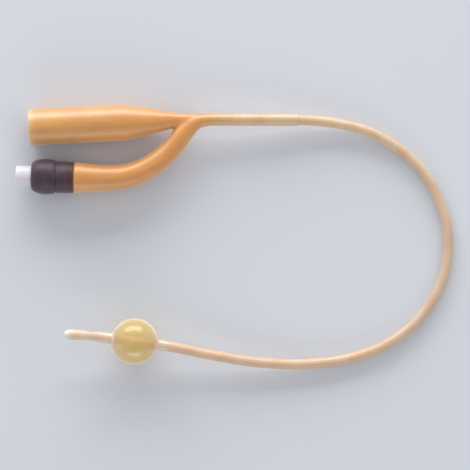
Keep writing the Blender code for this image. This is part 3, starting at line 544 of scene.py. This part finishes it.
# ---------------------------------------------------------------------------------------------------------------
# Moulded Y. Funnel, curved inflation arm and neck sleeve are one latex moulding over the start of the shaft.
# The arm flows into the neck, with a web in the crotch. Steel cores leave the drainage way and the arm's way.
# ---------------------------------------------------------------------------------------------------------------
FUNNEL_MOUTH = Vector((-0.056317, 0.009651, 0.0080))
FUNNEL_ALONG = Vector((0.998772, 0.049547, 0.0))
FUNNEL_RADIUS = 0.0080
FUNNEL_BARREL = 0.0426
FUNNEL_CONE = 0.0250
CONE_TUCK = 0.00028
SHOULDER_ROUND = 0.0300
RIM_ROUND = 0.0007
RIM_CHAMFER = 0.0003
MOUTH_BORE = 0.0063
BARREL_END_BORE = 0.0052
BARREL_MARGIN = 0.003
BARREL_RINGS = 12
NECK_RADIUS = 0.00268
NECK_BORE = 0.0024
NECK_LIP = 0.0004
NECK_LENGTH = 0.0441
NECK_ROOT = 0.0088
NECK_WAY = ((0.0180, 0.0130, 0.00800), (0.0320, 0.0130, 0.00760)) + SHAFT_WAY[1:6]
VALVE_MOUTH = Vector((-0.062082, -0.011526, 0.0078))
VALVE_ALONG = Vector((0.999433, -0.033678, 0.0))
SPIGOT = (
    (0.00960, 0.0055), (0.01000, 0.0059), (0.02545, 0.0059), (0.02560, 0.0064), (0.02585, 0.0068), (0.02745, 0.0068),
)
ARM = (
    (-0.0311, -0.01257, 0.00635), (-0.0254, -0.01270, 0.00595), (-0.0201, -0.01260, 0.00570),
    (-0.0148, -0.01210, 0.00545), (-0.0095, -0.01065, 0.00530), (-0.0045, -0.00825, 0.00505),
    (0.0000, -0.00535, 0.00490), (0.0039, -0.00205, 0.00465), (0.0074, 0.00170, 0.00450),
    (0.0103, 0.00550, 0.00440), (0.0131, 0.00895, 0.00415), (0.0156, 0.01120, 0.00370),
    (0.0184, 0.01240, 0.00320), (0.0217, 0.01285, 0.00280), (0.0252, 0.01300, 0.00240),
)
ARM_WALL = 0.0021
SOCKET_RADIUS = 0.0046
SOCKET_REACH = (0.0076, 0.0216)
SHAFT_SEAT_GAP = 0.00015
DRAIN_CONE_SHARES = (0.35, 0.65, 0.9)
DRAIN_BEND = ((-0.0041, 0.6), (-0.0014, 1), (0.0003, 1))
CHANNEL_POINTS = 9
CHANNEL_END = ((0.0101, 0.0051, 0.0018), (0.0124, 0.0081, 0.0011), (0.0145, 0.0101, 0.00065))
CHANNEL_STRAIGHT = (-0.0017, 0.0003)
WEB = (
    (0.0200, 0.0129, 0.0026), (0.0165, 0.0126, 0.0027), (0.0135, 0.0118, 0.0027), (0.0112, 0.0108, 0.0023),
    (0.0095, 0.0100, 0.0017), (0.0080, 0.0091, 0.0009),
)
MOULD_SPACING = 0.0012
MOULD_SIDES = 72
WEB_SIDES = 24
CORE_SIDES = 48
MOULD_GRAIN = 0.00036
FIRST_SMOOTHING = (0.5, -0.53) * 3
LAST_SMOOTHING = (0.4, -0.42)
WYE_SPAN = (-0.030, 0.006, 0.034, 0.006)
FILL_PASSES = 90
FILL_SHARE = 0.8
PASSES_PER_NORMAL = 10
TRUE_FORM_REACH = 0.00030
TRUE_FORM_FADE = 0.00022
CROTCH_SPAN = (0.004, 0.003, 0.024, 0.004)
SOFTEN_PASSES = 14
SOFTEN_SHARE = 0.5
ARM_FLOW_SHIFT = 0.3
FLOW_FADE = 0.003

amber_latex, tree, shader = new_material(
    "amber_latex", Subsurface_Weight=0.30, Subsurface_Radius=(0.0026, 0.0012, 0.0005), Subsurface_Scale=1.0,
    Specular_IOR_Level=0.75, Coat_Weight=1.0, Coat_Roughness=0.43, Coat_IOR=1.62, Sheen_Weight=0.85,
    Sheen_Roughness=0.55, Sheen_Tint=paint(255, 243, 222),
)
place = add(tree, "ShaderNodeTexCoord").outputs["Object"]
x, y, _ = add(tree, "ShaderNodeSeparateXYZ", {0: place}).outputs
# Towards the mouth the amber is painted a little paler, and paler again on the rim: painted highlight at the mouth
# end.
from_mouth = eased(tree, x, -0.058, -0.006)
painted_rim_highlight = eased(tree, x, -0.0530, -0.0560)
to_wye = eased(tree, x, -0.012, 0.014)
to_sleeve = eased(tree, x, 0.016, 0.040)
body = mixed(tree, from_mouth, paint(222, 158, 54), paint(222, 149, 30))
body = mixed(tree, to_wye, body, paint(224, 145, 25))
body = mixed(tree, to_sleeve, body, paint(232, 188, 140))
down_arm = eased(tree, y, -0.0045, -0.0075)
# Painted highlight on the mouth's rim.
body = mixed(tree, reckon(tree, "MULTIPLY", painted_rim_highlight, 0.6), body, paint(232, 204, 162))
body = mixed(tree, reckon(tree, "MULTIPLY", down_arm, 0.7), body, paint(222, 144, 18))
flow_place = add(tree, "ShaderNodeAttribute", attribute_name="flow_place").outputs["Vector"]
lengthwise = add(tree, "ShaderNodeMapping", {"Vector": flow_place, "Scale": (1.0, 1.0, 0.05)}).outputs[0]
off_seam = add(tree, "ShaderNodeAttribute", attribute_name="off_seam").outputs["Fac"]
colour = coat_with(tree, shader, LATEX_SKIN, {
    "Place": place, "Stretched Place": lengthwise, "Colour": body, "Deep Colour": paint(204, 121, 18),
    "Pale Colour": paint(234, 188, 124), "Cloud Scale": 75.0, "Clouds": 0.45,
    "Streaks": reckon(tree, "MULTIPLY", off_seam, 0.30),
}, bump=0.00014)
tree.links.new(colour, shader.inputs["Base Color"])

neck_way = Way(NECK_WAY)
fall = math.atan2(FUNNEL_RADIUS - NECK_RADIUS, FUNNEL_CONE)
shoulder_start = FUNNEL_BARREL - SHOULDER_ROUND * math.tan(fall / 2)
funnel_length = FUNNEL_BARREL + FUNNEL_CONE
profile = arc(RIM_ROUND, FUNNEL_RADIUS - RIM_ROUND, RIM_ROUND, -90, 0, 6)
profile += [(d, FUNNEL_RADIUS) for d in np.linspace(BARREL_MARGIN, shoulder_start - BARREL_MARGIN, BARREL_RINGS)]
profile += arc(shoulder_start, FUNNEL_RADIUS - SHOULDER_ROUND, SHOULDER_ROUND, 0, math.degrees(fall), 8)
profile += [(funnel_length, NECK_RADIUS), (funnel_length + CUT_PAST, NECK_RADIUS - CONE_TUCK)]
places = [FUNNEL_MOUTH + FUNNEL_ALONG * d for d, _ in profile]
funnel = swept("funnel", places, [r for _, r in profile], MOULD_SIDES)

distances = neck_way.spread(-NECK_ROOT, NECK_LENGTH - NECK_LIP, MOULD_SPACING)
radii = [NECK_RADIUS] * len(distances)
for angle in np.radians((30, 60, 90)):
    distances.append(NECK_LENGTH - NECK_LIP * (1 - math.sin(angle)))
    radii.append(NECK_RADIUS - NECK_LIP * (1 - math.cos(angle)))
neck = swept("neck", [neck_way.at(distance) for distance in distances], radii, MOULD_SIDES)

heights = np.linspace(VALVE_MOUTH.z, FUNNEL_MOUTH.z, len(ARM))
arm_way = Way([(px, py, height) for (px, py, _), height in zip(ARM, heights)])
arm_marks = arm_way.marks[::WAY_STEPS]
arm_radii = Way([(mark, radius, 0.0) for mark, (_, _, radius) in zip(arm_marks, ARM)]).points
distances = arm_way.spread(0.0, arm_way.length, MOULD_SPACING)
places = [VALVE_MOUTH + VALVE_ALONG * d for d, _ in SPIGOT] + [arm_way.at(d) for d in distances]
radii = [r for _, r in SPIGOT] + list(np.interp(distances, arm_radii[:, 0], arm_radii[:, 1]))
arm = swept("arm", places, radii, MOULD_SIDES)
web = swept("web", [(px, py, FUNNEL_MOUTH.z) for px, py, _ in WEB], [r for _, _, r in WEB], WEB_SIDES)

# The four forms are cast as one skin, and each point then goes back to the true form under it
whole = bmesh.new()
for form in (funnel, neck, arm, web):
    whole.from_mesh(form.data)
    bpy.data.objects.remove(form)
mesh = bpy.data.meshes.new("y_moulding")
whole.to_mesh(mesh)
true_form = BVHTree.FromBMesh(whole)
whole.free()
y_moulding = new_piece("y_moulding", mesh)
cast = y_moulding.modifiers.new("cast", "REMESH")
cast.mode = "VOXEL"
cast.voxel_size = MOULD_GRAIN
settle(y_moulding)


def pull(points, edges, counts):
    """How far each point is from the middle of its neighbours, as a vector."""
    total = np.zeros_like(points)
    for column in range(3):
        total[:, column] += np.bincount(edges[:, 0], points[edges[:, 1], column], len(points))
        total[:, column] += np.bincount(edges[:, 1], points[edges[:, 0], column], len(points))
    return total / counts[:, None] - points


def move_points(mesh, points):
    """Moves a mesh's points to new places, and gives the normals that they then have."""
    mesh.vertices.foreach_set("co", points.ravel())
    mesh.update()
    normals = np.empty(len(points) * 3)
    mesh.vertices.foreach_get("normal", normals)
    return normals.reshape(-1, 3)


def between(values, start, rise, end, fall):
    """One from start to end, fading in over the rise and out over the fall, and nought elsewhere."""
    return np.clip((values - start) / rise, 0, 1) * np.clip((end - values) / fall, 0, 1)


points = corners_of(y_moulding)
edges = np.empty(len(y_moulding.data.edges) * 2, np.int64)
y_moulding.data.edges.foreach_get("vertices", edges)
edges = edges.reshape(-1, 2)
counts = np.bincount(edges.ravel(), minlength=len(points)).astype(float)
for strength in FIRST_SMOOTHING:
    points = points + strength * pull(points, edges, counts)
near_wye = between(points[:, 0], *WYE_SPAN)
for number in range(FILL_PASSES):
    if number % PASSES_PER_NORMAL == 0:
        normals = move_points(y_moulding.data, points)
    hollow = (pull(points, edges, counts) * normals).sum(axis=1)
    points = points + normals * (np.clip(hollow, 0, None) * near_wye * FILL_SHARE)[:, None]
for number, point in enumerate(points):
    nearest, _, _, distance = true_form.find_nearest(Vector(point))
    share = np.clip((TRUE_FORM_REACH - distance) / TRUE_FORM_FADE, 0, 1)
    points[number] = point + (np.array(nearest) - point) * share * share * (3 - 2 * share)
in_crotch = between(points[:, 0], *CROTCH_SPAN)
for _ in range(SOFTEN_PASSES):
    points = points + pull(points, edges, counts) * (SOFTEN_SHARE * in_crotch)[:, None]
for strength in LAST_SMOOTHING:
    points = points + strength * pull(points, edges, counts)
move_points(y_moulding.data, points)

bore = [(-CUT_PAST, MOUTH_BORE + RIM_CHAMFER), (0.0, MOUTH_BORE + RIM_CHAMFER), (RIM_CHAMFER, MOUTH_BORE)]
bore.append((FUNNEL_BARREL, BARREL_END_BORE))
for share in DRAIN_CONE_SHARES:
    narrowed = BARREL_END_BORE + share * (DRAIN_LUMEN_RADIUS - BARREL_END_BORE)
    bore.append((FUNNEL_BARREL + share * FUNNEL_CONE, narrowed))
places = [FUNNEL_MOUTH + FUNNEL_ALONG * d for d, _ in bore]
places += [neck_way.at(d, right=-DRAIN_LUMEN_OFFSET * share) for d, share in DRAIN_BEND]
radii = [r for _, r in bore] + [DRAIN_LUMEN_RADIUS] * len(DRAIN_BEND)
drain_core = swept("drain_core", places, radii, CORE_SIDES)
distances = neck_way.spread(-SHAFT_SEAT_GAP, NECK_LENGTH + CUT_PAST, SHAFT_SPACING * 2)
shaft_core = swept("shaft_core", [neck_way.at(d) for d in distances], [NECK_BORE] * len(distances), CORE_SIDES)
places = [VALVE_MOUTH + VALVE_ALONG * d for d in SOCKET_REACH]
places += [Vector((px, py, height)) for (px, py, _), height in zip(ARM[:CHANNEL_POINTS], heights)]
radii = [SOCKET_RADIUS] * len(SOCKET_REACH) + [r - ARM_WALL for _, _, r in ARM[:CHANNEL_POINTS]]
for px, py, radius in CHANNEL_END:
    places.append(Vector((px, py, FUNNEL_MOUTH.z)))
    radii.append(radius)
places += [neck_way.at(d, right=INFLATE_LUMEN_OFFSET) for d in CHANNEL_STRAIGHT]
radii += [INFLATE_LUMEN_RADIUS] * len(CHANNEL_STRAIGHT)
inflate_core = swept("inflate_core", places, radii, CORE_SIDES)
cut(y_moulding, drain_core, shaft_core, inflate_core)
finish_surface(y_moulding, amber_latex)

# The latex's flow runs along the arm on the arm, along the funnel and neck elsewhere, and fades where they meet
spots = corners_of(y_moulding)
trunk_way = Way([FUNNEL_MOUTH, FUNNEL_MOUTH + FUNNEL_ALONG * FUNNEL_BARREL, *NECK_WAY])
on_trunk, trunk_gaps = laid_along(trunk_way, spots)
on_arm, arm_gaps = laid_along(arm_way, spots)
nearer_arm = arm_gaps < trunk_gaps
keep_on_points(y_moulding, "flow_place", np.where(nearer_arm[:, None], on_arm + ARM_FLOW_SHIFT, on_trunk))
keep_on_points(y_moulding, "off_seam", np.clip(np.abs(arm_gaps - trunk_gaps) / FLOW_FADE, 0, 1))
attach(y_moulding, "catheter")
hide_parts("y_connector")

# ---------------------------------------------------------------------------------------------------------------
# Collar. A sleeve of dark rubber pushed over the arm's end, with a bulged barrel, a groove and a plain band,
# which holds the valve's flange. Its back lip is thin and stained by the amber latex under it.
# ---------------------------------------------------------------------------------------------------------------
COLLAR_START = 0.0068
COLLAR_FRONT_ANGLE = 84
COLLAR_ARC_STEPS = 12
COLLAR_GROOVE = 0.0173
COLLAR_END = 0.0253
COLLAR_FRONT_RADIUS = 0.00520
COLLAR_BARREL_RADIUS = 0.0078
COLLAR_FALL = 0.0008
COLLAR_SWELL = 0.0064
COLLAR_BAND_RADIUS = 0.0070
COLLAR_BORE = 0.00605
COLLAR_HOLE = 0.0046
COLLAR_FRONT_WALL = 0.0013
GROOVE_DEPTH = 0.0003
GROOVE_WIDTH = 0.0006
GROOVE_EDGE = (0.00008, 0.00006)
GROOVE_FLOOR = 0.00014
BAND_EDGE = 0.0001
COLLAR_EDGE = 0.0003
LIP_START = 0.0236
LIP_STEP = 0.00012
STAIN = (LIP_START - 0.0022, LIP_START + 0.0002)
TURNED_STEPS = 96

dark_rubber, tree, shader = new_material(
    "dark_rubber", Sheen_Weight=0.6, Sheen_Roughness=0.5, Sheen_Tint=paint(206, 182, 216), Coat_Weight=0.22,
    Coat_Roughness=0.44,
)
place = add(tree, "ShaderNodeTexCoord").outputs["Object"]
down_axis = add(tree, "ShaderNodeVectorMath", {0: place, 1: tuple(VALVE_ALONG)}, operation="DOT_PRODUCT")
down_axis = reckon(tree, "SUBTRACT", down_axis.outputs["Value"], VALVE_MOUTH.dot(VALVE_ALONG))
bloom = noise(tree, place, 260.0, 5.0, 0.62)
lint = noise(tree, place, 2600.0, 3.0, 0.7)
body = mixed(tree, eased(tree, bloom, 0.36, 0.72), paint(54, 33, 43), paint(70, 48, 60))
body = mixed(tree, reckon(tree, "MULTIPLY", eased(tree, lint, 0.60, 0.74), 0.16), body, paint(140, 128, 138))
body = mixed(tree, eased(tree, down_axis, *STAIN), body, paint(66, 22, 10))
tree.links.new(body, shader.inputs["Base Color"])
tree.links.new(reckon(tree, "MULTIPLY_ADD", bloom, 0.25, 0.42), shader.inputs["Roughness"])
relief = reckon(tree, "MULTIPLY_ADD", lint, 0.5, bloom)
relief = add(tree, "ShaderNodeBump", {"Strength": 0.5, "Distance": 0.00012, "Height": relief})
tree.links.new(relief.outputs[0], shader.inputs["Normal"])

swell_end = COLLAR_START + COLLAR_SWELL
swell = COLLAR_BARREL_RADIUS - COLLAR_FRONT_RADIUS
run = COLLAR_GROOVE - swell_end
profile = []
for angle in np.radians(np.linspace(COLLAR_FRONT_ANGLE, 0, COLLAR_ARC_STEPS)):
    profile.append((swell_end - COLLAR_SWELL * math.sin(angle), COLLAR_FRONT_RADIUS + swell * math.cos(angle)))
for angle in np.radians(np.linspace(0, 90, COLLAR_ARC_STEPS))[1:]:
    profile.append((swell_end + run * math.sin(angle), COLLAR_BARREL_RADIUS - COLLAR_FALL * (1 - math.cos(angle))))
groove_radius = COLLAR_BAND_RADIUS - GROOVE_DEPTH
band_start = COLLAR_GROOVE + GROOVE_WIDTH
profile += [
    (COLLAR_GROOVE + GROOVE_EDGE[0], groove_radius + GROOVE_EDGE[1]), (COLLAR_GROOVE + GROOVE_FLOOR, groove_radius),
    (band_start - COLLAR_EDGE, groove_radius), (band_start - BAND_EDGE, COLLAR_BAND_RADIUS - BAND_EDGE),
    (band_start + BAND_EDGE, COLLAR_BAND_RADIUS), (LIP_START, COLLAR_BAND_RADIUS),
    (LIP_START + BAND_EDGE, COLLAR_BAND_RADIUS - LIP_STEP),
]
profile += arc(COLLAR_END - COLLAR_EDGE, COLLAR_BAND_RADIUS - LIP_STEP - COLLAR_EDGE, COLLAR_EDGE, 0, 90, 5)
profile += [(COLLAR_END, COLLAR_BORE), (COLLAR_START + COLLAR_FRONT_WALL, COLLAR_BORE)]
profile += [(COLLAR_START + COLLAR_FRONT_WALL, COLLAR_HOLE), (COLLAR_START, COLLAR_HOLE)]
collar = turned("collar_sleeve", profile, TURNED_STEPS, VALVE_MOUTH, VALVE_ALONG, loop=True)
finish_surface(collar, dark_rubber)
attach(collar, "catheter")
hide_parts("valve_collar")

# ---------------------------------------------------------------------------------------------------------------
# Valve body. A white moulded plastic piece: a tapered socket for a syringe that stands out of the collar, a flange
# behind it, and a barbed stem that grips the inside of the latex arm. The end lip keeps the spring's disc in.
# ---------------------------------------------------------------------------------------------------------------
LUER_RADIUS = 0.00445
LUER_EDGE = 0.0005
LUER_BORE = 0.00215
LUER_DEPTH = 0.0075
LUER_TAPER = 0.03
LUER_ROUND = 0.00025
THROAT_RADIUS = 0.0014
SEAT_START = 0.0084
SEAT_END = 0.0096
CHAMBER_RADIUS = 0.0030
FLANGE_START = 0.00825
FLANGE_END = 0.00945
FLANGE_RADIUS = 0.0059
BODY_END = 0.02145
STEM_RADIUS = 0.0042
BARB_HEIGHT = 0.00025
BARB_LENGTH = 0.0019
BARB_FACE = 0.00005
BARB_PITCH = 0.0032
BARB_COUNT = 3
LIP_THICKNESS = 0.0008
LIP_HEIGHT = 0.0004

white_plastic, tree, shader = new_material(
    "white_plastic", Subsurface_Weight=0.5, Subsurface_Radius=(0.0030, 0.0028, 0.0028), Subsurface_Scale=1.0,
    Coat_Weight=0.1, Coat_Roughness=0.2,
)
place = add(tree, "ShaderNodeTexCoord").outputs["Object"]
flow = noise(tree, place, 300.0, 4.0, 0.55)
scuff = noise(tree, place, 2200.0, 3.0, 0.65, stretch=(0.3, 1.0, 1.0))
body = mixed(tree, eased(tree, flow, 0.38, 0.70), paint(230, 228, 235), paint(223, 221, 230))
body = mixed(tree, reckon(tree, "MULTIPLY", eased(tree, scuff, 0.62, 0.78), 0.35), body, paint(188, 184, 196))
tree.links.new(body, shader.inputs["Base Color"])
tree.links.new(reckon(tree, "MULTIPLY_ADD", scuff, 0.22, 0.25), shader.inputs["Roughness"])
relief = add(tree, "ShaderNodeBump", {"Strength": 0.5, "Distance": 0.00006, "Height": scuff})
tree.links.new(relief.outputs[0], shader.inputs["Normal"])

profile = arc(LUER_ROUND, LUER_BORE + LUER_ROUND, LUER_ROUND, -180, -90, 4)
profile += arc(LUER_EDGE, LUER_RADIUS - LUER_EDGE, LUER_EDGE, -90, 0, 6)
profile += [(FLANGE_START, LUER_RADIUS), (FLANGE_START, FLANGE_RADIUS), (FLANGE_END, FLANGE_RADIUS)]
profile.append((FLANGE_END, STEM_RADIUS))
for number in range(BARB_COUNT):
    deep = BODY_END - BARB_HEIGHT - (BARB_COUNT - 1 - number) * BARB_PITCH
    crest = deep - BARB_LENGTH
    profile += [(crest, STEM_RADIUS), (crest + BARB_FACE, STEM_RADIUS + BARB_HEIGHT), (deep, STEM_RADIUS)]
profile += [
    (BODY_END, STEM_RADIUS - BARB_HEIGHT), (BODY_END, CHAMBER_RADIUS - LIP_HEIGHT),
    (BODY_END - LIP_THICKNESS, CHAMBER_RADIUS - LIP_HEIGHT), (BODY_END - LIP_THICKNESS, CHAMBER_RADIUS),
    (SEAT_END, CHAMBER_RADIUS), (SEAT_START, THROAT_RADIUS), (LUER_DEPTH, THROAT_RADIUS),
    (LUER_DEPTH, LUER_BORE - LUER_TAPER * LUER_DEPTH),
]
valve = turned("valve_housing", profile, TURNED_STEPS, VALVE_MOUTH, VALVE_ALONG, loop=True)
finish_surface(valve, white_plastic, crease=30)
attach(valve, "catheter")
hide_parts("valve_body")

# ---------------------------------------------------------------------------------------------------------------
# Valve's inside. The stem and the spring's disc are plain natural plastic, the seal is black rubber and the
# spring is coiled steel wire with a closed turn at each end. A syringe's tip pushes the stem in, which shortens
# the spring against its disc, and the spring closes the valve again.
# ---------------------------------------------------------------------------------------------------------------
ROD_START = 0.0052
ROD_RADIUS = 0.00095
HEAD_START = 0.01005
HEAD_END = 0.01085
HEAD_RADIUS = 0.0024
GUIDE_END = 0.0205
GUIDE_RADIUS = 0.00085
STEM_EDGE = 0.0002
HEAD_EDGE = 0.0001
SEAL = ((0.00871, 0.0011), (0.00871, 0.00150), (0.00875, 0.00156), (0.00916, 0.00210), (0.00926, 0.0022),
        (0.00984, 0.0022), (0.0099, 0.00214), (0.0099, 0.0011))
DISC_FACE = 0.0191
DISC_BACK = 0.0205
DISC_RADIUS = 0.00285
DISC_BORE = 0.00105
FLOW_HOLES = 4
FLOW_HOLE_RADIUS = 0.0004
FLOW_RING_RADIUS = 0.00195
SPRING_TURNS = ((0, 0.01125), (1, 0.01171), (5, 0.01824), (6, 0.01870))
SPRING_RADIUS = 0.0017
WIRE_RADIUS = 0.0002
WIRE_STEPS = 40
WIRE_SIDES = 14
SMALL_STEPS = 64

natural_plastic, tree, shader = new_material("natural_plastic", Subsurface_Weight=0.2, Subsurface_Scale=0.001)
place = add(tree, "ShaderNodeTexCoord").outputs["Object"]
flow = noise(tree, place, 500.0, 4.0)
body = mixed(tree, eased(tree, flow, 0.35, 0.70), paint(226, 224, 212), paint(206, 204, 190))
tree.links.new(body, shader.inputs["Base Color"])
tree.links.new(reckon(tree, "MULTIPLY_ADD", flow, 0.25, 0.28), shader.inputs["Roughness"])
relief = add(tree, "ShaderNodeBump", {"Strength": 0.4, "Distance": 0.00004, "Height": flow})
tree.links.new(relief.outputs[0], shader.inputs["Normal"])

seal_rubber, tree, shader = new_material("seal_rubber", Sheen_Weight=0.2)
place = add(tree, "ShaderNodeTexCoord").outputs["Object"]
dust = noise(tree, place, 1800.0, 4.0, 0.6)
body = mixed(tree, eased(tree, dust, 0.45, 0.75), paint(44, 42, 44), paint(72, 70, 74))
tree.links.new(body, shader.inputs["Base Color"])
tree.links.new(reckon(tree, "MULTIPLY_ADD", dust, 0.3, 0.45), shader.inputs["Roughness"])

spring_steel, tree, shader = new_material("spring_steel", Metallic=1.0)
place = add(tree, "ShaderNodeTexCoord").outputs["Object"]
drawn = noise(tree, place, 4200.0, 3.0, 0.6)
body = mixed(tree, drawn, paint(196, 196, 198), paint(164, 164, 170))
tree.links.new(body, shader.inputs["Base Color"])
tree.links.new(reckon(tree, "MULTIPLY_ADD", drawn, 0.25, 0.18), shader.inputs["Roughness"])

profile = [(ROD_START, 0.0)] + arc(ROD_START + STEM_EDGE, ROD_RADIUS - STEM_EDGE, STEM_EDGE, -90, 0, 5)
profile += [(HEAD_START, ROD_RADIUS)] + arc(HEAD_START + HEAD_EDGE, HEAD_RADIUS - HEAD_EDGE, HEAD_EDGE, -90, 0, 4)
profile += arc(HEAD_END - HEAD_EDGE, HEAD_RADIUS - HEAD_EDGE, HEAD_EDGE, 0, 90, 4) + [(HEAD_END, GUIDE_RADIUS)]
profile += arc(GUIDE_END - STEM_EDGE, GUIDE_RADIUS - STEM_EDGE, STEM_EDGE, 0, 90, 5) + [(GUIDE_END, 0.0)]
stem = turned("stem", profile, SMALL_STEPS, VALVE_MOUTH, VALVE_ALONG)
finish_surface(stem, natural_plastic)
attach(stem, "valve_stem")
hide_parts("valve_plunger")

seal = turned("stem_seal", SEAL, SMALL_STEPS, VALVE_MOUTH, VALVE_ALONG, loop=True)
finish_surface(seal, seal_rubber)
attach(seal, "valve_stem")
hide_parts("valve_seal")

profile = [(DISC_FACE, DISC_BORE)] + arc(DISC_FACE + HEAD_EDGE, DISC_RADIUS - HEAD_EDGE, HEAD_EDGE, -90, 0, 4)
profile += arc(DISC_BACK - HEAD_EDGE, DISC_RADIUS - HEAD_EDGE, HEAD_EDGE, 0, 90, 4) + [(DISC_BACK, DISC_BORE)]
disc = turned("spring_disc", profile, SMALL_STEPS, VALVE_MOUTH, VALVE_ALONG, loop=True)
beside = VALVE_ALONG.cross(Vector((0, 0, 1)))
hole_profile = [(DISC_FACE - CUT_PAST, 0.0), (DISC_FACE - CUT_PAST, FLOW_HOLE_RADIUS)]
hole_profile += [(DISC_BACK + CUT_PAST, FLOW_HOLE_RADIUS), (DISC_BACK + CUT_PAST, 0.0)]
punches = []
for angle in np.arange(FLOW_HOLES) * 2 * math.pi / FLOW_HOLES:
    off_axis = (beside * math.cos(angle) + Vector((0, 0, math.sin(angle)))) * FLOW_RING_RADIUS
    punches.append(turned("flow_hole", hole_profile, LUMEN_SIDES, VALVE_MOUTH + off_axis, VALVE_ALONG))
cut(disc, *punches)
finish_surface(disc, natural_plastic)
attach(disc, "catheter")
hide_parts("valve_retainer")

# The wire is coiled about the upright axis and then laid along the valve's
turns = np.arange(SPRING_TURNS[-1][0] * WIRE_STEPS + 1) / WIRE_STEPS
coil = SPRING_RADIUS * np.stack([np.cos(turns * 2 * math.pi), np.sin(turns * 2 * math.pi)])
rise = np.interp(turns, *zip(*SPRING_TURNS))
spring = swept("valve_coil", np.vstack([coil, rise]).T, [WIRE_RADIUS] * len(turns), WIRE_SIDES, spring_steel)
lay = VALVE_ALONG.to_track_quat("Z", "Y").to_matrix().to_4x4()
lay.translation = VALVE_MOUTH
spring.data.transform(lay)
finish_surface(spring, spring_steel)
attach(spring, "catheter")
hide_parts("valve_spring")
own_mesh(spring)

# ---------------------------------------------------------------------------------------------------------------
# Table top and studio light. A wide matt sheet in a pale room, one large soft lamp beyond the funnel and a
# weaker one on the side of the balloon. Both stand low, so that their light rakes across the tubes.
# ---------------------------------------------------------------------------------------------------------------
FLOOR_HALF = 3.0
FLOOR_COLOUR = paint(223, 227, 234)
LAMP_AIM = (0.03, -0.03, 0.0)
ROOM_COLOUR = (0.96, 0.97, 1.0, 1.0)
ROOM_STRENGTH = 0.56

floor_mesh = bpy.data.meshes.new("table_top")
corners = [(right * FLOOR_HALF, up * FLOOR_HALF, 0) for right, up in ((-1, -1), (1, -1), (1, 1), (-1, 1))]
floor_mesh.from_pydata(corners, [], [(0, 1, 2, 3)])
floor = new_piece("table_top", floor_mesh)
floor_paper, tree, shader = new_material("floor_paper", Roughness=0.9, Base_Color=FLOOR_COLOUR)
floor_mesh.materials.append(floor_paper)


def soft_lamp(name, place, size, power):
    """A rectangular area lamp that faces the middle of the loop."""
    light = bpy.data.lights.new(name, "AREA")
    light.shape = "RECTANGLE"
    light.size, light.size_y = size
    light.energy = power
    lamp = bpy.data.objects.new(name, light)
    lamp.location = place
    lamp.rotation_euler = (Vector(LAMP_AIM) - Vector(place)).to_track_quat("-Z", "Y").to_euler()
    bpy.context.scene.collection.objects.link(lamp)


soft_lamp("lamp_beyond", place=(-0.14, 2.02, 0.68), size=(3.0, 1.06), power=53.0)
soft_lamp("lamp_near", place=(0.03, -1.97, 0.80), size=(1.7, 0.76), power=7.0)

world = bpy.data.worlds.new("pale_room")
world.use_nodes = True
world.node_tree.nodes["Background"].inputs["Color"].default_value = ROOM_COLOUR
world.node_tree.nodes["Background"].inputs["Strength"].default_value = ROOM_STRENGTH
bpy.context.scene.world = world
bpy.context.scene.view_settings.view_transform = "Standard"
